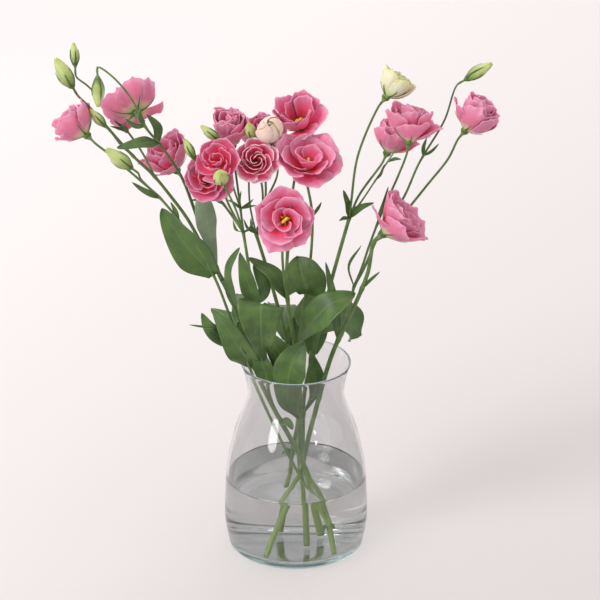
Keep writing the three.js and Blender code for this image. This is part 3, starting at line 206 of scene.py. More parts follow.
# Each stem: its runs of stalk, each from the one that it springs from to the head it bears, its
# leaves and bracts, and the fine sprigs that the solids leave out.
STEMS = {
    "left_stem": Stem(runs=[
        Run((2.7, 2.1), None, [(35, -42, 9.6), (23, -22, 52), (14, -16, 76), (7, -13, 94),
            (-6, -15, 123), (-19, -15, 150), (-41, -13, 200), (-57, -8, 254), (-72, -3, 289)]),
        Run((1.6, 1.1), "left_outer", [(27, -28, 39), (13, -29, 69), (-12, -28, 120), (-38, -27, 185),
            (-61, -16, 245), (-78, -9, 291), (-95, -19, 331), (-121, -26, 374), (-134, -26, 390),
            (-147, -25, 402), (-180, -21, 431)]),
        Run((1.1, 1), "left_side", [(-134, -26, 390), (-150, -35, 412)]),
        Run((1.9, 1.1), "left_high", [(-72, -3, 289), (-89, 6, 317), (-106, 12, 348), (-122, 12, 372),
            (-138, 9, 395), (-159, 3, 420), (-198, -8, 474)]),
        Run((1.2, 0.9), "left_tip", [(-138, 9, 395), (-150, 22, 415), (-178, 28, 454),
            (-201, 26, 482)]),
        Run((1, 0.9), "left_slim", [(-159, 3, 420), (-169, -6, 434)]),
        Run((1.9, 1.3), None, [(-74, -3, 290), (-84, 18, 310), (-96, 22, 343), (-111, 16, 390),
            (-131, 0, 432)]),
        Run((1.2, 0.9), "left_nodding", [(-131, 0, 432), (-144, -11, 454), (-158, -12, 485),
            (-176, -12, 508)]),
        Run((1.2, 1.1), "left_top", [(-131, 0, 432), (-140, 6, 440)]),
        Run((1.2, 1.1), "left_low", [(-96, 22, 343), (-102, 36, 356)]),
        Run((1.8, 1.5), None, [(-15, -15, 141), (-25, -18, 168), (-30, -23, 210), (-36, -23, 247),
            (-41, -22, 279), LEFT_FORK]),
        Run((1.2, 1.1), "mid_upper", [LEFT_FORK, (-68, -8, 380)]),
        Run((1.2, 1.1), "mid_lower", [LEFT_FORK, (-70, 5, 366)]),
        Run((1.1, 1), "mid_round", [LEFT_FORK, (-59, -32, 380)]),
        Run((1.2, 1.1), "mid_back", [LEFT_FORK, HIGH_LEFT_FORK, (-58, 24, 386)]),
        Run((1, 0.9), "mid_left_high", [HIGH_LEFT_FORK, (-62, 9, 388)]),
        Run((1, 0.9), "mid_left_low", [(-70, 5, 366), (-86, 12, 382)]),
    ], leaves=[
        Leaf(36, (-0.3, -0.9, 0.3), [(-84, -5, 298), (-103, -19, 328), (-119, -23, 355),
            (-130, -20, 373)]),
        Leaf(24, (-0.5, 0.8, -0.2), [(-81, 9, 294), (-82, 5, 325), (-88, 8, 354),
            (-91, 16, 380)], 0.55),
        Leaf(13, (0.1, -0.6, 0.8), [(-131, -2, 434), (-150, -16, 440), (-172, -25, 439)]),
        Leaf(11, (0.5, -0.7, 0.3), [(-131, 2, 433), (-134, -6, 452), (-143, -9, 467)]),
        Leaf(19, (-0.2, -0.7, 0.7), [(-55, -12, 223), (-72, -30, 239), (-84, -37, 253),
            (-92, -34, 268)]),
        Leaf(27, (-0.3, -0.8, 0.5), [(-43, -14, 198), (-55, -38, 230), (-68, -43, 256),
            (-81, -34, 272)]),
        Leaf(22, (0.3, -0.8, 0.5), [(-38, -14, 208), (-47, -34, 239), (-57, -28, 256)], 0.55),
        Leaf(22, (-0.2, -0.4, 0.9), [(-55, -6, 230), (-69, 16, 237), (-84, 28, 244)]),
        Leaf(13, (-0.7, -0.7, 0.1), [(-58, -8, 257), (-64, -12, 283), (-65, -16, 308),
            (-55, -19, 331)]),
        Leaf(17, (-0.2, -0.9, 0.2), [(-39, -23, 271), (-46, -37, 299), (-54, -40, 336)]),
        Leaf(14, (0.4, -0.8, 0.2), [(-39, -22, 273), (-31, -16, 286), (-42, -12, 309)]),
        Leaf(46, (0, -0.7, 0.7), [(-31, -24, 210), (-33, -45, 238), (-34, -57, 265), (-34, -59, 287),
            (-32, -46, 283)], 0.86),
        Leaf(20, (-0.2, -0.8, 0.5), [(-27, -19, 188), (-33, -28, 210), (-39, -23, 224)]),
        Leaf(28, (0, 0.4, 0.9), [(-49, -8, 232), (-50, 34, 246), (-58, 68, 240)]),
    ], bracts=[
        Leaf(5, (0.2, -0.9, 0.3), [(-145, -11, 455), (-149, -15, 465), (-150, -18, 477)]),
        Leaf(5, (0.2, -0.9, 0.3), [(-145, -11, 455), (-155, -15, 458), (-164, -16, 466)]),
        Leaf(4, (0, -0.6, 0.8), [(-61, -16, 243), (-86, -37, 254), (-104, -40, 258)]),
        Leaf(6, (-0.2, -0.8, 0.6), [(-131, -26, 387), (-146, -34, 398), (-158, -34, 407)]),
        Leaf(5, (-0.4, -0.8, 0.3), [(-113, -24, 362), (-116, -26, 372), (-121, -24, 382)]),
        Leaf(4, (-0.6, -0.6, 0.3), [LEFT_FORK, (-58, -22, 352), (-61, -22, 362)]),
        Leaf(4, (-0.2, -0.6, 0.6), [(27, -28, 39), (24, -34, 36), (24, -36, 32)]),
        Leaf(4, (0.4, -0.6, 0.6), [(27, -28, 39), (31, -32, 38), (34, -34, 34)]),
        Leaf(10, (0.4, -0.7, 0.5), [(-15, -15, 141), (-8, -22, 143), (-3, -25, 137)]),
    ], fine=[
        Leaf(3, (0.4, -0.8, 0.2), [LEFT_FORK, (-45, -20, 352), (-41, -22, 361)]),
        Leaf(3, (0.4, -0.8, 0.2), [HIGH_LEFT_FORK, (-47, -3, 370), (-41, -6, 377)]),
        Leaf(3, (-0.4, -0.8, 0.2), [(-70, 5, 366), (-77, 3, 372), (-81, 1, 380)]),
        Leaf(3, (-0.4, -0.8, 0.2), [HIGH_LEFT_FORK, (-60, -4, 372), (-66, -6, 376)]),
        Leaf(3, (0, -0.6, 0.8), [HIGH_LEFT_FORK, (-47, -5, 368), (-38, -8, 371)]),
        Leaf(3, (0, -0.8, 0.2), [HIGH_LEFT_FORK, (-55, -5, 374), (-53, -7, 386)]),
        Leaf(3, (0.3, -0.8, 0.2), [(-102, 36, 356), (-96, 28, 362), (-91, 24, 370)]),
        Leaf(3, (0, -0.8, 0.5), [(-163, 25, 433), (-171, 18, 441), (-180, 14, 445)]),
        Leaf(3, (0.2, -0.8, 0.5), [(-163, 25, 433), (-169, 18, 443), (-176, 12, 452)]),
        Leaf(5, (0.2, -0.8, 0.3), [(-163, 25, 433), (-165, 18, 440), (-167, 12, 447)]),
    ]),
    "front_stem": Stem(runs=[
        Run((2.5, 1.7), None, [(8, -8, 9), (6, 0, 60), (3, 4, 92), (3, 1, 123), (4, -3, 169),
            (1, -6, 204), (-4, -9, 240), (-8, -16, 273), (-9, -20, 305), (-8, -22, 330)]),
        Run((1.5, 1.2), "front", [(-8, -16, 273), (-12, -30, 309), (-13, -37, 338)]),
        Run((1.6, 1.1), "top", [(-8, -22, 330), (-7, 3, 348), (-2, 36, 375)]),
        Run((1.6, 1.3), "wide", [(1, -6, 212), (6, 3, 245), (14, 12, 301), (16, 16, 350)]),
    ], leaves=[
        Leaf(34, (-0.35, -0.65, 0.65), [(1, -7, 218), (14, -30, 254), (34, -38, 279),
            (58, -28, 286)], 0.6),
        Leaf(43, (0, -0.85, 0.5), [(12, 8, 270), (10, -6, 283), (6, -9, 298), (2, 4, 311)], 0.5),
        Leaf(26, (-0.3, -0.6, 0.75), [(4, 0, 236), (13, 14, 250), (22, 24, 260), (29, 30, 262)]),
        Leaf(17, (0.2, -0.6, 0.8), [(-8, -17, 277), (-22, -14, 300), (-35, -11, 309), (-46, -8, 315)]),
        Leaf(33, (-0.1, -1, 0.2), [(4, -2, 138), (-8, -31, 174), (-4, -40, 217), (8, -34, 236)], 0.7),
    ], bracts=[
        Leaf(5, (0.4, -0.8, 0.2), [(-7, 3, 348), (0, -3, 360), (5, -3, 370)]),
        Leaf(4, (0.4, -0.8, 0.2), [(16, 16, 350), (22, 12, 360), (25, 12, 366)]),
    ], fine=[
        Leaf(3, (-0.4, -0.8, 0.2), [(-8, -22, 330), (-14, -25, 338), (-17, -24, 348)]),
        Leaf(27, (-0.2, -0.8, 0.55), [(0, -6, 190), (-9, -15, 206), (-19, -19, 223), (-30, -12, 238)]),
    ]),
    "middle_stem": Stem(runs=[
        Run((2.5, 1.7), None, [(-10, 30, 9), (-6, 17, 60), (-4, 14, 92), (2, 11, 130), (1, 11, 163),
            (-4, 9, 197), (-12, 6, 233), (-28, 8, 295), MIDDLE_FORK]),
        Run((1.2, 1.1), "mid_spiral", [MIDDLE_FORK, (-33, 18, 353), (-33, 18, 380)]),
        Run((1, 0.9), "mid_small", [MIDDLE_FORK, (-45, 21, 360), (-45, 20, 400)]),
        Run((1.3, 1.1), "mid_hidden", [MIDDLE_FORK, (-30, 40, 355), (-31, 66, 380)]),
        Run((1.1, 1), "mid_pale", [(-30, 40, 355), (-19, 31, 383), (-18, 16, 406)]),
    ], leaves=[
        Leaf(24, (-0.3, -0.8, 0.5), [(1, 10, 161), (-17, -6, 190), (-7, -12, 213)], 0.55),
        Leaf(30, (0, 0.5, 0.85), [(-8, 6, 218), (-13, 40, 236), (-24, 78, 226)]),
        Leaf(20, (0, -0.9, 0.4), [(-4, 9, 205), (0, 16, 224), (2, 20, 243)]),
    ], bracts=[
        Leaf(4, (0.4, -0.8, 0.2), [MIDDLE_FORK, (-33, 8, 342), (-29, 8, 352)]),
        Leaf(5, (0.2, -0.6, 0.6), [(-4, 14, 92), (-10, 10, 96), (-14, 9, 92)]),
        Leaf(5, (0.2, -0.6, 0.6), [(-4, 14, 92), (0, 22, 97), (2, 26, 93)]),
    ], fine=[
        Leaf(3, (-0.4, -0.8, 0.2), [MIDDLE_FORK, (-47, 10, 339), (-51, 9, 349)]),
        Leaf(3, (0, -0.8, 0.2), [MIDDLE_FORK, (-43, 7, 341), (-44, 5, 352)]),
        Leaf(3, (0, -0.6, 0.6), [MIDDLE_FORK, (-32, 6, 334), (-26, 4, 331)]),
    ]),
    "right_inner_stem": Stem(runs=[
        Run((2.5, 1.8), None, [(16, 18, 9), (9, 18, 61), (7, 20, 92), (7, 24, 123), (8, 23, 150),
            (13, 20, 180), (22, 12, 224), (36, 6, 289), INNER_FORK]),
        Run((1.3, 1.1), "right_pale", [INNER_FORK, (54, 1, 373), (60, 0, 420)]),
        Run((1.2, 1.1), "right_back", [INNER_FORK, (62, 20, 370)]),
        Run((1, 0.7), None, [INNER_FORK, (64, 5, 370), (89, 0, 414), (98, 2, 428)]),
    ], leaves=[
        Leaf(7, (0.5, -0.8, 0.2), [(51, 3, 353), (50, 0, 370), (46, -3, 385)]),
        Leaf(8, (-0.2, -0.6, 0.8), [(53, 3, 354), (63, -2, 366), (76, -2, 371)]),
        Leaf(17, (0.4, -0.9, 0), [(7, 23, 130), (20, 10, 166), (14, 10, 206)], 0.55),
        Leaf(30, (0, 0.5, 0.85), [(16, 17, 200), (18, 50, 222), (24, 84, 214)]),
        Leaf(42, (0, -0.6, 0.8), [(22, 12, 224), (38, 24, 230), (54, 33, 224), (65, 37, 211)], 0.6),
    ], bracts=[
        Leaf(5, (0, -0.6, 0.8), [INNER_FORK, (47, -5, 356), (42, -9, 355)]),
        Leaf(5, (0.6, -0.6, 0.2), [(76, 2, 392), (82, -1, 402), (86, -2, 412)]),
        Leaf(4, (0.6, -0.6, 0.2), [(89, 0, 414), (95, -3, 418), (102, -4, 418)]),
    ], fine=[]),
    "right_stem": Stem(runs=[
        Run((2.7, 2), "right_low", [(-28, -49, 9.8), (-12, -27, 45), (1, -12, 74), (7, -4, 91),
            (14, 0, 123), (22, 0, 157), (36, -6, 211), (48, -9, 242), (58, -12, 267), (70, -17, 303)]),
        Run((1.8, 1.4), None, [(44, -8, 233), (51, 4, 250), RIGHT_FORK]),
        Run((1.3, 1.1), "right_upper", [RIGHT_FORK, (64, 19, 290), (72, 22, 315), (84, 18, 352),
            (99, 5, 396)]),
        Run((1.5, 0.9), "right_tip", [RIGHT_FORK, (67, 25, 289), (83, 34, 324), (105, 34, 360),
            (120, 28, 400), (144, 22, 448)]),
        Run((1.3, 1.1), "right_outer", [(83, 34, 324), (98, 25, 339), (130, 16, 385), (148, 12, 412)]),
    ], leaves=[
        Leaf(10, (0, -1, 0), [(42, -8, 226), (37, -24, 276), (29, -27, 319)]),
    ], bracts=[
        Leaf(4, (-0.8, -0.6, 0.1), [RIGHT_FORK, (52, 6, 300), (64, 2, 324)]),
        Leaf(4, (0, -0.6, 0.8), [(64, -14, 284), (72, -20, 296), (82, -20, 306)]),
        Leaf(6, (0.6, -0.8, 0.2), [(79, 21, 338), (84, 12, 360), (90, 8, 384)]),
        Leaf(4, (0.2, -0.8, 0.4), [(124, 27, 408), (124, 22, 420), (127, 21, 430)]),
        Leaf(5, (-0.3, -0.8, 0.4), [(23, 0, 160), (17, -5, 164), (13, -6, 160)]),
    ], fine=[
        Leaf(3, (0.2, -0.8, 0.4), [(124, 27, 408), (132, 23, 415), (139, 21, 424)]),
    ]),
}

HEADS = {**BLOOMS, **BUDS, **PALE_BUDS}


def draw(seed):
    """A steady draw between 0 and 1 for a whole number."""
    value = sin(seed * 12.9898 + 4.1414) * 43758.5453
    return value % 1


def lerp(start, end, share):
    return start + (end - start) * share


def smoothstep(low, high, value):
    share = min(1, max(0, (value - low) / (high - low)))
    return share * share * (3 - 2 * share)


# Routes and the frames of flower heads.


def polar(radius, turn, height=0):
    """A point of a flower head, by its distance from the axis, its turn and its height."""
    return Vector((radius * cos(turn), radius * sin(turn), height))


def hermite_point(start, end, leave, arrive, t):
    """A point of the cubic that leaves start and arrives at end with the given tangents."""
    square = t * t
    cube = square * t
    return (start * (2 * cube - 3 * square + 1) + leave * (cube - 2 * square + t)
            + end * (3 * square - 2 * cube) + arrive * (cube - square))


def smooth_route(points, spacing):
    """Even steps along the smooth curve through the points, in which no stretch overshoots."""
    fine = 16
    first = points[0] * 2 - points[1]
    last = points[-1] * 2 - points[-2]
    padded = [first, *points, last]
    dense = [points[0]]
    for before, start, end, after in zip(padded, padded[1:], padded[2:], padded[3:]):
        gaps = [(a - b).length ** 0.5 for a, b in ((start, before), (end, start), (after, end))]
        leave = ((start - before) / gaps[0] - (end - before) / (gaps[0] + gaps[1])
                 + (end - start) / gaps[1]) * gaps[1]
        arrive = ((end - start) / gaps[1] - (after - start) / (gaps[1] + gaps[2])
                  + (after - end) / gaps[2]) * gaps[1]
        for step in range(1, fine + 1):
            dense.append(hermite_point(start, end, leave, arrive, step / fine))
    reach = [0.0]
    for a, b in zip(dense, dense[1:]):
        reach.append(reach[-1] + (b - a).length)
    steps = max(4, round(reach[-1] / spacing))
    route = []
    k = 0
    for step in range(steps + 1):
        wanted = reach[-1] * step / steps
        while k < len(dense) - 2 and reach[k + 1] < wanted:
            k += 1
        share = (wanted - reach[k]) / (reach[k + 1] - reach[k])
        route.append(dense[k].lerp(dense[k + 1], min(1, share)))
    return route


def nearest_on(routes, point):
    """The place nearest to a point on the routes that are already laid."""
    return min((place for route in routes for place in route), key=lambda place: (place - point).length)


def headings(route):
    """The way that a route runs at each of its places."""
    ends = [(route[max(0, k - 1)], route[min(len(route) - 1, k + 1)]) for k in range(len(route))]
    return [(after - before).normalized() for before, after in ends]


def head_frame(head):
    """Turns a flower head's own millimetres, with its axis as +Z, into the bunch's."""
    axis = Vector(head.axis).normalized()
    side = Vector((0, 0, 1)).cross(axis)
    if side.length < 0.2:
        side = Vector((1, 0, 0))
    side.normalize()
    side.rotate(Matrix.Rotation(radians(head.turn), 3, axis))
    forward = axis.cross(side)
    turned = Matrix((side, forward, axis)).transposed().to_4x4()
    return Matrix.Translation(head.base) @ turned


# Sheets: every petal, leaf and stem starts as a flat grid that a formula bends into place.


def add_sheet(bm, columns, rows, place, finish=0, tone=0.5, closed=False):
    """Adds a grid bent by place(s, t), with s from -1 to 1 across it and t from 0 to 1 along it.
    A closed one meets itself at s = -1 and 1, and at a pole where place gives one point."""
    across = bm.loops.layers.uv.get("UVMap") or bm.loops.layers.uv.new("UVMap")
    tones = bm.verts.layers.float.get("tone") or bm.verts.layers.float.new("tone")
    made = bmesh.ops.create_grid(bm, x_segments=columns, y_segments=rows, size=1)
    for face in {face for vertex in made["verts"] for face in vertex.link_faces}:
        face.smooth = True
        face.material_index = finish
        for loop in face.loops:
            spot = loop.vert.co
            loop[across].uv = ((spot.x + 1) / 2, (spot.y + 1) / 2)
    for vertex in made["verts"]:
        vertex[tones] = tone
        vertex.co = place(vertex.co.x, (vertex.co.y + 1) / 2) * MM
    if closed:
        bmesh.ops.remove_doubles(bm, verts=made["verts"], dist=1e-6)


def settle(name, bm, finishes):
    """Makes an object of the scene from a finished mesh."""
    mesh = bpy.data.meshes.new(name)
    bm.to_mesh(mesh)
    bm.free()
    for finish in finishes:
        mesh.materials.append(finish)
    return link(name, mesh)


def hang(name, bm, finishes, node, thickness=0):
    """Makes a piece of the object from a finished mesh, which stands for a node of the model.
    A sheet gets its thickness in millimetres, with the next finish on its other side."""
    piece = settle(name, bm, finishes)
    if thickness:
        wall = piece.modifiers.new("thickness", "SOLIDIFY")
        wall.thickness = thickness * MM
        wall.offset = 0
        wall.material_offset = 1
        wall.material_offset_rim = 1
    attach(piece, "root")
    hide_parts(node)


# Finishes.


class Finish:
    """The finish of one kind of surface: a shader, and the nodes that give it its colour."""

    def __init__(self, name, **settings):
        self.material = bpy.data.materials.new(name)
        self.material.use_nodes = True
        self.tree = self.material.node_tree
        self.shader = self.tree.nodes["Principled BSDF"]
        for label, value in settings.items():
            socket = label.replace("_", " ").title().replace("Ior", "IOR")
            self.shader.inputs[socket].default_value = value

    def node(self, kind, inputs=(), **properties):
        made = self.tree.nodes.new("ShaderNode" + kind)
        for label, value in properties.items():
            setattr(made, label, value)
        for label, value in dict(inputs).items():
            self.feed(made.inputs[label], value)
        return made.outputs

    def feed(self, socket, value):
        """Joins an output to a socket, or sets it to a value. Colours are three numbers."""
        if isinstance(value, bpy.types.NodeSocket):
            self.tree.links.new(value, socket)
        else:
            socket.default_value = (*value, 1) if socket.type == "RGBA" else value

    def math(self, operation, *values):
        return self.node("Math", enumerate(values), operation=operation)[0]

    def times(self, one, other):
        return self.math("MULTIPLY", one, other)

    def mix(self, factor, one, other, blend="MIX"):
        return self.node("Mix", {0: factor, 6: one, 7: other}, data_type="RGBA", blend_type=blend)[2]

    def ramp(self, factor, stops):
        made = self.tree.nodes.new("ShaderNodeValToRGB")
        elements = made.color_ramp.elements
        for place, colour in stops[1:-1]:
            elements.new(place)
        for element, (place, colour) in zip(elements, stops):
            element.position = place
            element.color = (*colour, 1)
        self.feed(made.inputs[0], factor)
        return made.outputs[0]

    def band(self, value, low, high):
        """0 below low and 1 above high, smoothly."""
        return self.node("MapRange", {"Value": value, "From Min": low, "From Max": high},
                         interpolation_type="SMOOTHSTEP")[0]

    def across_and_along(self):
        """Where a spot is on its sheet: -1 to 1 across it, 0 to 1 along it, and the sheet's tone."""
        spot = self.node("SeparateXYZ", {0: self.node("UVMap", uv_map="UVMap")[0]})
        across = self.math("MULTIPLY_ADD", spot[0], 2.0, -1.0)
        tone = self.node("Attribute", attribute_name="tone")["Fac"]
        return across, spot[1], tone

    def grain(self, across, along, tone, counts, detail=3.0):
        """Fine streaks that run along a sheet: how many there are across it and along it."""
        spot = self.node("CombineXYZ", {
            0: self.times(across, counts[0]),
            1: self.times(along, counts[1]),
            2: self.times(tone, 37.0),
        })[0]
        return self.node("TexNoise", {"Vector": spot, "Scale": 1.0, "Detail": detail})[0]

    def blotch(self, size):
        """Cloudy patches of the given size in millimetres, fixed in the object."""
        place = self.node("TexCoord")["Object"]
        return self.node("TexNoise", {"Vector": place, "Scale": 1 / (size * MM), "Detail": 3.0})[0]

    def relief(self, height, depth):
        """Raises the surface by up to depth, in millimetres, where height is 1."""
        bump = self.node("Bump", {"Height": height, "Distance": depth * MM, "Strength": 1.0})[0]
        self.feed(self.shader.inputs["Normal"], bump)

    def paint(self, colour):
        self.feed(self.shader.inputs["Base Color"], colour)
        return self.material


def petal_finish(name, stops, rim, vein, edge=0.4):
    """A petal's face: colours from its claw to its tip, paler round its rim, with fine veins."""
    made = Finish(name, roughness=0.6, subsurface_weight=0.5, subsurface_radius=(1.0, 0.5, 0.6),
                  subsurface_scale=0.003, sheen_weight=0.08, sheen_roughness=0.4)
    across, along, tone = made.across_and_along()
    patches = made.math("SUBTRACT", made.blotch(9), 0.5)
    body = made.ramp(made.math("MULTIPLY_ADD", patches, 0.16, along), stops)
    veins = made.grain(across, along, tone, (13.0, 1.1))
    veined = made.mix(made.times(made.band(veins, 0.5, 0.8), 0.35), body, vein)
    far = made.math("MAXIMUM", made.math("ABSOLUTE", across), along)
    patchy = made.times(made.band(made.blotch(5), 0.25, 0.7), edge)
    soft = made.times(made.band(far, 0.6, 1.0), patchy)
    fine = made.times(made.band(far, 0.94, 1.0), edge * 0.4)
    rimmed = made.times(made.math("ADD", soft, fine), made.band(along, 0.3, 0.7))
    paled = made.mix(rimmed, veined, rim)
    toned = made.mix(made.times(tone, 0.14), paled, stops[-2][1], "MULTIPLY")
    wrinkles = made.math("ADD", made.grain(across, along, tone, (26.0, 2.2), 2.0), veins)
    made.relief(wrinkles, 0.12)
    return made.paint(toned)


def leaf_finish(name, dark, light, rib, roughness):
    """A leaf's face: cloudy green with a pale midrib and long side veins."""
    made = Finish(name, roughness=roughness, subsurface_weight=0.12,
                  subsurface_radius=(0.4, 1.0, 0.25), subsurface_scale=0.001)
    across, along, tone = made.across_and_along()
    cloud = made.band(made.blotch(14), 0.35, 0.68)
    body = made.mix(cloud, dark, light)
    grain = made.grain(across, along, tone, (16.0, 7.0))
    mottled = made.mix(made.times(made.band(grain, 0.45, 0.75), 0.35), body, light)
    off = made.math("ABSOLUTE", across)
    midrib = made.band(made.math("ADD", off, made.times(along, 0.03)), 0.085, 0.03)

    def side_vein(place, width):
        return made.band(made.math("ABSOLUTE", made.math("SUBTRACT", off, place)), width, 0.0)

    veins = made.times(made.math("ADD", side_vein(0.38, 0.03), side_vein(0.7, 0.025)), 0.12)
    lines = made.math("MINIMUM", made.math("ADD", midrib, veins), 0.45)
    toned = made.mix(made.times(tone, 0.35), made.mix(lines, mottled, rib), light)
    made.relief(made.math("SUBTRACT", grain, lines), 0.25)
    return made.paint(toned)


def stem_finish():
    """A stem: green with fine lengthwise lines, paler towards a flower head, and with painted light
    near its foot: lighter and yellower in the water and a little above it.
    """
    made = Finish("stem_green", roughness=0.45, subsurface_weight=0.1,
                  subsurface_radius=(0.4, 1.0, 0.25), subsurface_scale=0.001)
    across, along, tone = made.across_and_along()
    lines = made.grain(across, along, tone, (7.0, 5.0))
    cloud = made.band(made.blotch(11), 0.35, 0.7)
    body = made.mix(cloud, (0.062, 0.124, 0.028), (0.125, 0.205, 0.046))
    lined = made.mix(made.times(lines, 0.4), body, (0.12, 0.19, 0.06))
    yellowed = made.mix(made.times(tone, 0.75), lined, (0.28, 0.36, 0.08))
    # Painted light: towards the foot, in the water and just above it, the stem is painted lighter and
    # yellower.
    height = made.node("SeparateXYZ", {0: made.node("TexCoord")["Object"]})[2]
    painted_underwater_light = made.times(made.band(height, 0.11, 0.04), 0.65)
    made.relief(lines, 0.2)
    return made.paint(made.mix(painted_underwater_light, yellowed, (0.235, 0.34, 0.06)))


def bud_finish():
    """A closed bud: pale green, greener at its foot, with darker lines where the petals furl."""
    made = Finish("furled_bud", roughness=0.5, subsurface_weight=0.3,
                  subsurface_radius=(0.8, 1.0, 0.4), subsurface_scale=0.0016)
    across, along, tone = made.across_and_along()
    body = made.ramp(along, [(0.0, (0.12, 0.20, 0.04)), (0.25, (0.25, 0.34, 0.085)),
                             (0.6, (0.46, 0.53, 0.20)), (0.86, (0.50, 0.55, 0.21)),
                             (1.0, (0.38, 0.44, 0.09))])
    streaks = made.grain(across, along, tone, (9.0, 1.6))
    streaked = made.mix(made.times(made.band(streaks, 0.45, 0.7), 0.5), body, (0.23, 0.34, 0.08))
    warm = made.mix(made.times(made.band(made.blotch(6), 0.5, 0.8), 0.35), streaked, (0.6, 0.6, 0.28))
    made.relief(streaks, 0.2)
    return made.paint(warm)


def heart_finish(name, dark, light):
    """The stigma or an anther: a mealy gold."""
    made = Finish(name, roughness=0.75, subsurface_weight=0.2,
                  subsurface_radius=(1.0, 0.6, 0.2), subsurface_scale=0.0008)
    meal = made.blotch(0.5)
    made.relief(meal, 0.25)
    return made.paint(made.mix(made.band(meal, 0.35, 0.65), dark, light))


def clear_finish(name, ior, tint, density, shade):
    """Glass or water: it bends light and takes a little of its colour from its depth. The lamps
    shine straight through it, dimmed only to its shade."""
    made = Finish(name, roughness=0.0, transmission_weight=1.0, ior=ior)
    path = made.node("LightPath")
    passing = made.math("MAXIMUM", path["Is Shadow Ray"], path["Is Diffuse Ray"])
    clear = made.node("BsdfTransparent", {"Color": shade})[0]
    lit = made.node("MixShader", {0: passing, 1: made.shader.outputs[0], 2: clear})[0]
    depth = made.node("VolumeAbsorption", {"Color": tint, "Density": density})[0]
    output = made.tree.nodes["Material Output"].inputs
    made.feed(output["Surface"], lit)
    made.feed(output["Volume"], depth)
    return made.material


PETAL_FACE = petal_finish("petal_face", [
    (0.0, (0.60, 0.16, 0.08)), (0.10, (0.84, 0.08, 0.09)), (0.25, (0.95, 0.06, 0.14)),
    (0.50, (0.90, 0.105, 0.22)), (0.80, (0.72, 0.152, 0.28)), (1.0, (0.65, 0.23, 0.36))],
    rim=(0.80, 0.43, 0.555), vein=(0.80, 0.07, 0.16))
SPIRAL_FACE = petal_finish("spiral_petal_face", [
    (0.0, (0.50, 0.05, 0.04)), (0.10, (0.85, 0.04, 0.07)), (0.30, (0.98, 0.05, 0.14)),
    (0.55, (0.98, 0.09, 0.22)), (0.82, (0.96, 0.17, 0.33)), (1.0, (0.93, 0.36, 0.50))],
    rim=(0.97, 0.76, 0.81), vein=(0.85, 0.06, 0.15), edge=0.8)
THROAT_FACE = petal_finish("throat_petal_face", [
    (0.0, (0.10, 0.10, 0.02)), (0.2, (0.20, 0.09, 0.02)), (0.37, (0.76, 0.045, 0.10)),
    (0.54, (0.88, 0.105, 0.22)), (0.80, (0.72, 0.155, 0.285)), (1.0, (0.66, 0.235, 0.365))],
    rim=(0.80, 0.43, 0.555), vein=(0.74, 0.07, 0.16))
PETAL_BACK = petal_finish("petal_back", [
    (0.0, (0.38, 0.48, 0.11)), (0.13, (0.54, 0.52, 0.22)), (0.27, (0.74, 0.38, 0.37)),
    (0.42, (0.69, 0.18, 0.285)), (0.80, (0.66, 0.16, 0.285)), (1.0, (0.65, 0.235, 0.36))],
    rim=(0.78, 0.42, 0.54), vein=(0.60, 0.10, 0.21))
INNER_BACK = petal_finish("inner_petal_back", [
    (0.0, (0.62, 0.12, 0.10)), (0.15, (0.86, 0.12, 0.19)), (0.35, (0.88, 0.13, 0.24)),
    (0.55, (0.80, 0.15, 0.265)), (0.80, (0.70, 0.16, 0.285)), (1.0, (0.66, 0.24, 0.365))],
    rim=(0.80, 0.43, 0.555), vein=(0.70, 0.09, 0.19))
PALE_FACE = petal_finish("pale_petal_face", [
    (0.0, (0.46, 0.52, 0.22)), (0.3, (0.66, 0.62, 0.38)), (0.8, (0.74, 0.66, 0.46)),
    (1.0, (0.66, 0.64, 0.36))], rim=(0.66, 0.64, 0.36), vein=(0.56, 0.58, 0.30))
PALE_BACK = petal_finish("pale_petal_back", [
    (0.0, (0.34, 0.46, 0.12)), (0.18, (0.56, 0.60, 0.28)), (0.5, (0.72, 0.67, 0.44)),
    (0.82, (0.74, 0.63, 0.45)), (1.0, (0.60, 0.63, 0.28))], rim=(0.64, 0.64, 0.34),
    vein=(0.46, 0.54, 0.20))
BLUSH_BACK = petal_finish("blush_petal_back", [
    (0.0, (0.52, 0.54, 0.26)), (0.2, (0.80, 0.57, 0.43)), (0.5, (0.86, 0.54, 0.48)),
    (0.85, (0.84, 0.58, 0.48)), (1.0, (0.76, 0.68, 0.38))], rim=(0.88, 0.44, 0.45),
    vein=(0.84, 0.44, 0.42), edge=0.7)
LEAF_FACE = leaf_finish("leaf_face", (0.041, 0.086, 0.021), (0.078, 0.152, 0.027),
                        (0.14, 0.22, 0.08), 0.45)
LEAF_BACK = leaf_finish("leaf_back", (0.20, 0.275, 0.165), (0.29, 0.375, 0.245),
                        (0.36, 0.46, 0.30), 0.6)
STEM_GREEN = stem_finish()
FURLED_BUD = bud_finish()
STIGMA_GOLD = heart_finish("stigma_gold", (0.62, 0.36, 0.03), (0.86, 0.62, 0.08))
ANTHER_ORANGE = heart_finish("anther_orange", (0.50, 0.17, 0.02), (0.80, 0.36, 0.03))
STYLE_GREEN = heart_finish("style_green", (0.20, 0.30, 0.06), (0.40, 0.46, 0.12))
VASE_GLASS = clear_finish("vase_glass", 1.5, (0.42, 0.74, 0.77), 5.5, (0.965, 0.97, 0.97))
# The lip of the rim is partly glass and partly a painted highlight: pale teal and half opaque, for the
# bright line that light draws along a glass rim.
RIM_GLASS_PAINTED_HIGHLIGHT = Finish("rim_glass_painted_highlight", roughness=0.08, transmission_weight=0.45, ior=1.5).paint(
    (0.66, 0.82, 0.86))
STILL_WATER = clear_finish("still_water", 1.33, (0.78, 0.86, 0.78), 0.4, (1.0, 1.0, 1.0))


# Blooms.

# The first whorl's height above the calyx, and the rise from one whorl to the next.
FOOT = {"first": 1, "step": 0.35}
# Places along a petal's middle at which its lean is worked out.
PETAL_STATIONS = 24
# How far along it a petal's tip starts to curl back.
CURL_START = 0.7
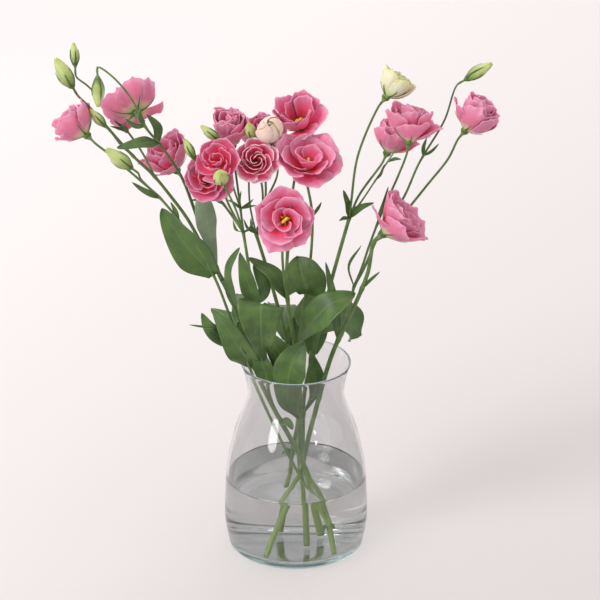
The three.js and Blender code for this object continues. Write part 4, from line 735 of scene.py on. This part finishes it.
# How far single petals stray from their whorl's shape: the least, and the spread above it.
STRAY = {
    "length": (0.91, 0.15), "lean": (-4, 8), "roll": (0.5, 1), "skew": (-0.2, 0.4),
    "point": (0.02, 0.09), "crease": (0, 0.7), "cusp": (0, 0.09),
}
OUTER_GRID = (34, 26)
INNER_GRID = (24, 20)
PETAL_THICKNESS = 0.34


def stray(kind, seed):
    least, spread = STRAY[kind]
    return least + spread * draw(seed)


def petal_profile(whorl, ring, length, lean=0, roll=1):
    """The curve up the middle of a petal: radius, height and lean at even steps."""
    radius = whorl.ring
    height = FOOT["first"] + ring * FOOT["step"]
    profile = []
    for step in range(PETAL_STATIONS + 1):
        t = step / PETAL_STATIONS
        degrees = lerp(whorl.root, whorl.tip, smoothstep(0, 1, t)) + lean * t
        degrees += roll * whorl.curl * max(0, (t - CURL_START) / (1 - CURL_START)) ** 2
        angle = radians(degrees)
        profile.append((radius, height, angle))
        radius += sin(angle) * length / PETAL_STATIONS
        height += cos(angle) * length / PETAL_STATIONS
    return profile


def on_profile(profile, along):
    """Radius, height and lean at a share of the way up a profile."""
    low = min(PETAL_STATIONS - 1, int(along * PETAL_STATIONS))
    share = along * PETAL_STATIONS - low
    return [lerp(a, b, share) for a, b in zip(profile[low], profile[low + 1])]


def belly_of(whorl, along):
    """How far a petal's middle bellies out at a share of the way along it."""
    return whorl.belly * sin(pi * min(1, 1.1 * along))


def sway(turn, along, length, seed, calm):
    """How far a whorl leans inwards at a turn. All its petals share it, so that none meets the next."""

    def wave(size, count, k):
        return size * sin(count * turn + 6 * draw(seed + k))

    lopsided = wave(0.05, 1, 0) + wave(0.05, 2, 1)
    waves = wave(0.045, 5, 2) + wave(0.03, 9, 3)
    frill = wave(0.018, 17, 4) * smoothstep(0.65, 1, along)
    return length * (lopsided * along ** 2 + (waves * along ** 3 + frill) * calm)


def petal_heading(head, ring, k):
    """The way that a petal faces in the bunch, seen along its head's axis."""
    turn = 2 * pi * (k + ring * 0.5) / STYLES[head.style][ring].petals
    return head_frame(head).to_3x3() @ polar(1, turn)


def add_petal(bm, head, ring, k, seed, grid, finish=0, droop=0):
    """A petal of a whorl, with steady draws of its own from its seed."""
    whorl = STYLES[head.style][ring]
    calm = CALM.get(head.style, 1) * max(0.2, 1 - 0.3 * ring)
    length = head.petal * whorl.length * stray("length", seed) * (1 - abs(droop) / 360)
    lean = stray("lean", seed + 1) * calm + droop
    profile = petal_profile(whorl, ring, length, lean, stray("roll", seed + 2))
    matrix = head_frame(head)
    around = 2 * pi * (k + ring * 0.5) / whorl.petals
    reach = whorl.wrap * pi / whorl.petals
    skew = stray("skew", seed + 3)
    point = stray("point", seed + 4)
    crease = stray("crease", seed + 5)
    cusp = stray("cusp", seed + 7) * calm
    whole = seed - k * 5

    def place(s, t):
        # The edge falls back from its highest place to round corners, with small teeth and a cusp.
        off = abs(s - skew)
        teeth = 0.034 * abs(sin(4.2 * s + seed)) + 0.014 * abs(sin(9.7 * s + 2 * seed))
        outline = 1 - 0.17 * off ** 2.6 - point * off - teeth * calm + cusp * max(0, 1 - off / 0.3) ** 2
        along = t * max(0, outline) / (1 + cusp)
        radius, height, angle = on_profile(profile, min(1, along))
        # The middle bellies out, one side tucks in under the next petal, and the rim ruffles.
        turn = around + s * reach + whorl.twist * along
        crown = lerp(1 - s * s, 1 - abs(s), crease)
        tucked = s * whorl.tuck * min(1, 1.6 * along)
        ruffle = length * calm * (0.028 * sin(6.3 * s + seed) - 0.03 * s ** 4)
        inward = tucked + sway(turn, along, length, whole, calm) - crown * belly_of(whorl, along)
        inward += ruffle * smoothstep(0.45, 1, along)
        return matrix @ polar(radius - inward * cos(angle), turn, height + inward * sin(angle))

    add_sheet(bm, *grid, place, finish, tone=draw(seed + 6))


def leans_of(name, head):
    """The petals of a head that lean on their own: (whorl, petal) to degrees."""
    leans = {}
    for ring, heading, degrees in LEANS.get(name, []):
        way = Vector(heading)
        petals = range(STYLES[head.style][ring].petals)
        leans[ring, max(petals, key=lambda k: petal_heading(head, ring, k).dot(way))] = degrees
    return leans


def make_bloom(name, node, head, order, finishes):
    """A flower's whorls, with the finishes in pairs, back and face, from the outer whorl in."""
    bm = bmesh.new()
    leans = leans_of(name, head)
    for ring, whorl in enumerate(STYLES[head.style]):
        grid = OUTER_GRID if ring < 2 else INNER_GRID
        finish = min(2 * ring, len(finishes) - 2)
        for k in range(whorl.petals):
            seed = order * 53 + ring * 17 + k * 5
            add_petal(bm, head, ring, k, seed, grid, finish, leans.get((ring, k), 0))
    hang("petals_" + name, bm, finishes, node, PETAL_THICKNESS)


# Buds: five petals furled round each other, each edge a low spiral step.

BUD = {
    "petals": 5, "turns": 0.5, "step": 0.038, "foot": 0.42, "widest": 0.38, "tip": 0.24, "lobe": 0.03,
    "grid": (80, 34),
}


def bud_radius(bud, t):
    if t < BUD["widest"]:
        swell = lerp(BUD["foot"], 1, sin(pi / 2 * t / BUD["widest"]))
    else:
        past = (t - BUD["widest"]) / (1 - BUD["widest"])
        swell = lerp(BUD["tip"], 1, cos(pi / 2 * past) ** 0.95)
    return bud.width / 2 * swell


def make_bud(name, bud):
    """A closed bud, with a low spiral step where each petal's edge lies on the next petal."""
    matrix = head_frame(bud)

    def place(s, t):
        turn = pi * s
        furl = (s / 2 + BUD["turns"] * t) * BUD["petals"] % 1
        edge = furl - smoothstep(0.84, 1, furl)
        depth = BUD["step"] * (1 + 2.5 * smoothstep(0.7, 1, t))
        radius = bud_radius(bud, t) * (1 - depth + 2 * depth * edge)
        lobe = BUD["lobe"] * cos(BUD["petals"] * turn + 1) * smoothstep(0.8, 1, t)
        if t in (0, 1):
            radius = 0
        height = bud.length * min(t, 0.985) * (1 + lobe * (t < 1))
        return matrix @ polar(radius, turn, height)

    bm = bmesh.new()
    add_sheet(bm, *BUD["grid"], place, tone=draw(bud.length), closed=True)
    hang(name.replace("bud", "furled"), bm, [FURLED_BUD], name)


# Hearts: an ovary and style with a two-lobed stigma, and a ring of anthers.

HEART = {
    "height": 11.5, "ovary": (2.1, 2.1, 4.2), "style": 0.9, "lobe": (2.6, 1.7, 3.3),
    "anthers": 6, "anther": (1.0, 1.0, 2.4), "filament": 0.3,
}
GOLD, ORANGE, GREEN = range(3)


def add_oval(bm, matrix, at, radii, lean, finish):
    """An egg with its long axis leaning out from the head's axis towards a turn."""
    made = bmesh.ops.create_uvsphere(bm, u_segments=16, v_segments=10, radius=1)
    turned = Matrix.Rotation(lean[0], 4, "Z") @ Matrix.Rotation(lean[1], 4, "Y")
    shape = matrix @ Matrix.Translation(at) @ turned @ Matrix.Diagonal((*radii, 1))
    for vertex in made["verts"]:
        vertex.co = shape @ vertex.co * MM
    for face in {face for vertex in made["verts"] for face in vertex.link_faces}:
        face.smooth = True
        face.material_index = finish


def make_heart(name, head):
    """The ovary, the style with its stigma, and the anthers on their filaments."""
    bm = bmesh.new()
    matrix = head_frame(head)
    height = HEART["height"]
    style = (HEART["style"], HEART["style"], height * 0.42)
    add_oval(bm, matrix, (0, 0, 3.2), HEART["ovary"], (0, 0), GREEN)
    add_oval(bm, matrix, (0, 0, height * 0.6), style, (0, 0), GREEN)
    for side in (0, 1):
        turn = pi * side + 0.4
        add_oval(bm, matrix, polar(1.5, turn, height), HEART["lobe"], (turn, 0.5), GOLD)
    for k in range(HEART["anthers"]):
        turn = 2 * pi * (k + 0.3 * draw(k)) / HEART["anthers"]
        reach = 3.4 + 0.8 * draw(k + 7)
        rise = height * 0.62 + 1.2 * draw(k + 3)
        filament = (HEART["filament"], HEART["filament"], rise * 0.52)
        add_oval(bm, matrix, polar(reach, turn, rise), HEART["anther"], (turn, 0.9), ORANGE)
        add_oval(bm, matrix, polar(reach * 0.72, turn, rise * 0.5), filament, (turn, 0.28), GREEN)
    finishes = [STIGMA_GOLD, ANTHER_ORANGE, STYLE_GREEN]
    hang(name.replace("stamens", "heart"), bm, finishes, name)


# Stems.

# A stalk's last two points stand this far below the base of its head, on the head's axis.
NECK = (11, 2)
SEPALS = {"count": 5, "length": 19, "width": 1.6, "young": 0.7}
# A stalk's round: its sides, its low ridges, and how it swells within a short reach of a knot.
STALK = {"step": 3, "sides": 16, "ridges": 4, "ridge": 0.05, "knot": 0.3, "knot_reach": 3}
# The receptacle under a bloom: its mouth, its height against a bud's, and its five low ribs.
RECEPTACLE = {"mouth": 4.0, "bud_height": 0.55, "ribs": 5, "rib": 0.05, "grid": 20}
# How deep a leaf folds, as a share of its half width, and how far its edge ripples.
LEAF = {"fold": 0.16, "ripple": 0.07}
SPRIG_GRIDS = {"leaf": (16, 28), "bract": (6, 12)}
LEAF_THICKNESS = 0.4


def run_points(run, routes):
    """A run's points: it springs from the stem laid before it and ends in its head's calyx."""
    points = [Vector(point) for point in run.points]
    if routes:
        points[0] = nearest_on(routes, points[0])
    if run.bears:
        head = HEADS[run.bears]
        axis = Vector(head.axis).normalized()
        points += [Vector(head.base) - axis * below for below in NECK]
    return points


def add_run(bm, run, route, knots):
    """A stem through its route, with low ridges, which swells a little at each knot."""
    ways = headings(route)
    sides = [ways[0].orthogonal().normalized()]
    for way in ways[1:]:
        side = sides[-1] - way * sides[-1].dot(way)
        sides.append(side.normalized())
    last = len(route) - 1

    def place(s, t):
        row = round(t * (last + 2))
        k = min(last, max(0, row - 1))
        radius = lerp(run.radii[0], run.radii[1], k / last)
        near = min((route[k] - knot).length for knot in knots)
        radius *= 1 + STALK["knot"] * exp(-((near / STALK["knot_reach"]) ** 2))
        radius *= 1 + STALK["ridge"] * cos(STALK["ridges"] * pi * s)
        if row in (0, last + 2):
            radius = 0
        turn = pi * s
        other = ways[k].cross(sides[k])
        return route[k] + sides[k] * radius * cos(turn) + other * radius * sin(turn)

    add_sheet(bm, STALK["sides"], last + 2, place, tone=0, closed=True)


def add_receptacle(bm, head, stalk):
    """The green cup that a head's petals spring from, drawn out of its stalk."""
    matrix = head_frame(head)
    bud = isinstance(head, Bud)
    mouth = bud_radius(head, 0) * 1.12 if bud else RECEPTACLE["mouth"]
    rise = RECEPTACLE["bud_height"] if bud else 1
    rings = [(0, -10), (stalk, -10), (stalk * 1.05, -7.5 * rise), (stalk * 1.3, -5.5 * rise),
             (mouth * 0.7, -3.4 * rise), (mouth * 0.92, -1.8 * rise), (mouth, 0), (mouth * 1.02, 1.2),
             (mouth * 0.9, 1.9), (0, 1.9)]

    def place(s, t):
        radius, height = rings[round(t * (len(rings) - 1))]
        turn = pi * s
        radius *= 1 + RECEPTACLE["rib"] * cos(RECEPTACLE["ribs"] * turn)
        return matrix @ polar(radius, turn, height)

    add_sheet(bm, RECEPTACLE["grid"], len(rings) - 1, place, tone=0.1 if bud else 0.25, closed=True)


def sepal_rib(head, length, stand, droop=0):
    """The line that a sepal follows up the outside of its head, as radius and height."""
    shares = [step / 18 for step in range(19)]
    if isinstance(head, Bud):
        reach = min(0.7, length / head.length)
        return [(bud_radius(head, share * reach) * 1.05 + 0.2 + 0.25 * stand * share ** 2,
                 head.length * share * reach) for share in shares]
    whorl = STYLES[head.style][0]
    profile = petal_profile(whorl, 0, head.petal, droop)
    rib = [(3.4, -2.6), (4.2, -1.2)]
    for share in shares:
        along = min(1, share * length / head.petal)
        radius, height, angle = on_profile(profile, along)
        clear = stand * share + 0.5 + belly_of(whorl, along)
        rib.append((radius + clear * cos(angle), height - clear * sin(angle)))
    return rib


def add_sepals(bm, name, head, seed):
    """Five long narrow sepals, which stand out at the foot and lie back towards the petals."""
    matrix = head_frame(head)
    bloom = isinstance(head, Bloom)
    leans = leans_of(name, head) if bloom else {}
    young = bloom and head.style in ("ball", "opening")
    for k in range(SEPALS["count"]):
        length = SEPALS["length"] * (0.85 + 0.3 * draw(seed + k)) * (SEPALS["young"] if young else 1)
        around = 2 * pi * (k + 0.3 * (draw(seed + k + 2) - 0.5)) / SEPALS["count"]
        slant = 0.35 * (draw(seed + k + 9) - 0.5)
        rib = sepal_rib(head, length, 1.2 * draw(seed + k + 4), 2 + leans.get((0, k), 0))
        steps = len(rib) - 1

        def place(s, t):
            radius, height = rib[round(t * steps)]
            half = SEPALS["width"] / 2 * (1 - t) ** 0.6 + 0.12 + 1.1 * max(0, 1 - 3 * t) ** 1.5
            out = polar(1, around + slant * t)
            beside = Vector((-out.y, out.x, 0))
            keel = 0.35 * half * s * s
            return matrix @ (out * (radius - keel) + beside * s * half + Vector((0, 0, height)))

        add_sheet(bm, 4, steps, place, tone=draw(seed + k + 5))


def leaf_width(t, widest):
    """A leaf's width at t as a share of its greatest. One that is widest past its middle has a
    narrow foot and hollow sides below."""
    if t > widest:
        return 0.02 + 0.98 * cos(pi / 2 * (t - widest) / (1 - widest)) ** 0.7
    if widest > 0.5:
        return lerp(0.12, 1, (t / widest) ** 1.25)
    return lerp(0.3, 1, sin(pi / 2 * t / widest))


def add_leaf(bm, leaf, routes, seed, grid):
    """A leaf along its rib, from the nearest stalk, a little folded and rippled."""
    points = [Vector(point) for point in leaf.rib]
    points[0] = nearest_on(routes, points[0])
    length = sum((b - a).length for a, b in zip(points, points[1:]))
    route = smooth_route(points, length / grid[1])
    ways = headings(route)
    face = Vector(leaf.face).normalized()
    last = len(route) - 1
    phase = 6 * draw(seed)

    def place(s, t):
        k = round(t * last)
        across = ways[k].cross(face).normalized()
        lift = across.cross(ways[k])
        half = leaf.width / 2 * leaf_width(t, leaf.widest)
        fold = LEAF["fold"] * half * abs(s) ** 1.5
        ripple = LEAF["ripple"] * leaf.width * s * s * sin(9 * t + phase + s) * min(1, 3 * t)
        return route[k] + across * s * half + lift * (fold + ripple)

    add_sheet(bm, grid[0], last, place, tone=draw(seed + 1))


def make_stem(name, stem, order):
    """A stem in two pieces: its stalks, and its sepals, leaves and bracts."""
    wood = bmesh.new()
    blades = bmesh.new()
    routes = []
    for run in stem.runs:
        routes.append(smooth_route(run_points(run, routes), STALK["step"]))
    knots = [route[0] for route in routes[1:]]
    knots += [nearest_on(routes, Vector(sprig.rib[0])) for sprig in [*stem.leaves, *stem.bracts]]
    for run, route in zip(stem.runs, routes):
        add_run(wood, run, route, knots)
        if run.bears:
            head = HEADS[run.bears]
            add_receptacle(wood, head, run.radii[1])
            add_sepals(blades, run.bears, head, order * 31 + len(run.points) * 7)
    for k, leaf in enumerate(stem.leaves):
        add_leaf(blades, leaf, routes, order * 41 + k * 3, SPRIG_GRIDS["leaf"])
    for k, bract in enumerate([*stem.bracts, *stem.fine]):
        add_leaf(blades, bract, routes, order * 43 + k * 3, SPRIG_GRIDS["bract"])
    hang(name + "_stalks", wood, [STEM_GREEN], name)
    hang(name + "_leaves", blades, [LEAF_FACE, LEAF_BACK], name, LEAF_THICKNESS)


# The vase and its water.

WATER = {"level": 76.5, "press": 0.2, "creep": [(0.2, 0.6), (-0.5, 0.25), (-1.6, 0.05), (-3, 0)]}
VASE = {
    "height": 200, "rim": 54.4, "brim": 199.65, "wall": 2.2, "floor": 7, "heel": 12,
    "underside": [(0, 1.3), (30, 1.1), (50, 0.4), (54, 0)], "foot": 58,
    "outline": [(67.2, 7), (70.6, 26), (71, 46), (68.6, 86), (61, 123), (51.6, 150), (47.8, 165),
                (49.4, 182), (54.4, 200)],
}


def spline_radius(z):
    """The outer wall's radius at a height, on the smooth curve through the outline."""
    outline = VASE["outline"]
    k = max(i for i in range(len(outline) - 1) if outline[i][1] <= z or i == 0)
    before = outline[max(0, k - 1)]
    start = outline[k]
    end = outline[k + 1]
    after = outline[min(len(outline) - 1, k + 2)]

    def at(index, t):
        leave = (end[index] - before[index]) / 2
        arrive = (after[index] - start[index]) / 2
        return hermite_point(start[index], end[index], leave, arrive, t)

    low = 0
    high = 1
    for _ in range(24):
        middle = (low + high) / 2
        if at(1, middle) < z:
            low = middle
        else:
            high = middle
    return at(0, low)


def arc(centre, radii, start, end, steps):
    """Points of an oval from start to end, in quarter turns from its lowest point outwards."""
    turns = [pi / 2 * lerp(start, end, k / steps) for k in range(steps + 1)]
    return [(centre[0] + radii[0] * sin(turn), centre[1] - radii[1] * cos(turn)) for turn in turns]


def inner_corner(grow):
    """The rounded corner between the vase's floor and its wall, seen from inside."""
    heel = VASE["heel"]
    top = VASE["floor"] + heel
    centre = spline_radius(top) - VASE["wall"] - heel
    return arc((centre, top), (heel + grow, heel + grow), 0, 1, 8)


def spin_round(name, outline, finishes, node, brim=1000):
    """Spins an outline of radii and heights, from the axis back to the axis, into a closed solid.
    Its second finish is for what lies above the brim."""
    bm = bmesh.new()
    verts = [bm.verts.new((radius * MM, 0, height * MM)) for radius, height in outline]
    edges = [bm.edges.new(pair) for pair in zip(verts, verts[1:])]
    bmesh.ops.spin(bm, geom=verts + edges, cent=(0, 0, 0), axis=(0, 0, 1), angle=2 * pi,
                   steps=128, use_merge=True)
    bmesh.ops.remove_doubles(bm, verts=bm.verts, dist=1e-6)
    bmesh.ops.recalc_face_normals(bm, faces=bm.faces)
    for face in bm.faces:
        face.smooth = True
        face.material_index = int(face.calc_center_median().z > brim * MM)
    hang(name, bm, finishes, node)


def make_vase():
    wall = VASE["wall"]
    height = VASE["height"]
    foot = VASE["foot"]
    side, rise = VASE["outline"][0]
    half = wall / 2
    heights = range(10, height - 1, 3)
    outline = VASE["underside"] + arc((foot, rise), (side - foot, rise), 0, 1, 8)
    outline += [(spline_radius(z), z) for z in heights]
    outline += arc((VASE["rim"] - half, height - half), (half, half), 1, 3, 12)
    inside = [z for z in reversed(heights) if z > VASE["floor"] + VASE["heel"]]
    outline += [(spline_radius(z) - wall, z) for z in inside]
    outline += [*reversed(inner_corner(0)), (0, VASE["floor"])]
    # Above the brim, the lip gets the rim's painted highlight.
    spin_round("clear_vase", outline, [VASE_GLASS, RIM_GLASS_PAINTED_HIGHLIGHT], "vase", VASE["brim"])


def make_water():
    """The water presses a little into the glass, and creeps up it round its rim."""
    press = WATER["press"]
    level = WATER["level"]
    edge = spline_radius(level) - VASE["wall"]
    outline = [(0, VASE["floor"] - press), *inner_corner(press)]
    outline += [(spline_radius(z) - VASE["wall"] + press, z) for z in range(20, int(level), 3)]
    outline += [(edge + out, level + up) for out, up in WATER["creep"]]
    outline.append((0, level))
    spin_round("still_water", outline, [STILL_WATER], "water")


# The bunch.

ROSY = [PETAL_BACK, PETAL_FACE, INNER_BACK, PETAL_FACE]
# The styles of bloom with petals of their own, back and face, from the outer whorl in.
PETALS = {
    "rose": [PETAL_BACK, SPIRAL_FACE, INNER_BACK, SPIRAL_FACE],
    "open": [*ROSY, INNER_BACK, THROAT_FACE],
    "flute": [PETAL_BACK, PETAL_FACE, INNER_BACK, THROAT_FACE],
    "ball": [BLUSH_BACK, PALE_FACE],
    "opening": [PALE_BACK, PALE_FACE],
}

for order, (name, head) in enumerate(BLOOMS.items()):
    make_bloom(name, "bloom_" + name, head, order, PETALS.get(head.style, ROSY))
for order, (name, head) in enumerate(PALE_BUDS.items(), 30):
    make_bloom(name, "bud_" + name, head, order, PETALS[head.style])
for name, bud in BUDS.items():
    make_bud("bud_" + name, bud)
for name in ("front", "wide", "top"):
    make_heart("stamens_" + name, BLOOMS[name])
for order, (name, stem) in enumerate(STEMS.items()):
    make_stem(name, stem, order)
make_vase()
make_water()


# The floor and the light.


def lay_floor():
    """A pale floor with painted light: lighter towards the back and the left, darker towards the front
    right.
    """
    bm = bmesh.new()
    bmesh.ops.create_grid(bm, x_segments=1, y_segments=1, size=15)
    made = Finish("pale_floor", roughness=0.9)
    spot = made.node("SeparateXYZ", {0: made.node("TexCoord")["Object"]})
    # Painted light: a falloff of light across the floor, painted into its colour.
    painted_falloff_slope = made.math("SUBTRACT", made.times(spot[1], 0.21), made.times(spot[0], 0.17))
    painted_falloff = made.node("MapRange", {"Value": painted_falloff_slope, "From Min": -0.2, "From Max": 0.3})[0]
    tint = made.mix(painted_falloff, (0.51, 0.474, 0.474), (0.82, 0.772, 0.772))
    floor = settle("floor", bm, [made.paint(tint)])


def hang_light(name, place, aim, size, power):
    """A round or oval light, by its width and height, turned to what it is aimed at."""
    data = bpy.data.lights.new(name, "AREA")
    data.shape = "ELLIPSE"
    data.size, data.size_y = size
    data.energy = power
    light = link(name, data)
    light.location = place
    light.rotation_euler = (Vector(aim) - Vector(place)).to_track_quat("-Z", "Y").to_euler()


lay_floor()
hang_light("key_light", (-2.2, -1.5, 2.5), (0, 0, 0.25), (1.35, 1.35), 56)
hang_light("sky_light", (0.3, 1.2, 2.8), (0, 0, 0.25), (1.2, 1.2), 10)
hang_light("window_light", (-1.8, -1.75, 0.62), (0, 0, 0.15), (0.8, 0.65), 8)
hang_light("lamp", (1.24, -1.53, 0.53), (0.02, -0.05, 0.145), (0.16, 0.06), 0.5)

scene = bpy.context.scene
world = bpy.data.worlds.new("studio")
scene.world = world
world.use_nodes = True
backdrop = world.node_tree.nodes["Background"].inputs
backdrop["Color"].default_value = (1.0, 0.985, 0.98, 1)
backdrop["Strength"].default_value = 0.96
scene.view_settings.view_transform = "Standard"
# Light goes through many walls of glass and water on its way, and isn't cut short in them.
scene.cycles.max_bounces = 24
scene.cycles.glossy_bounces = 12
scene.cycles.transmission_bounces = 24
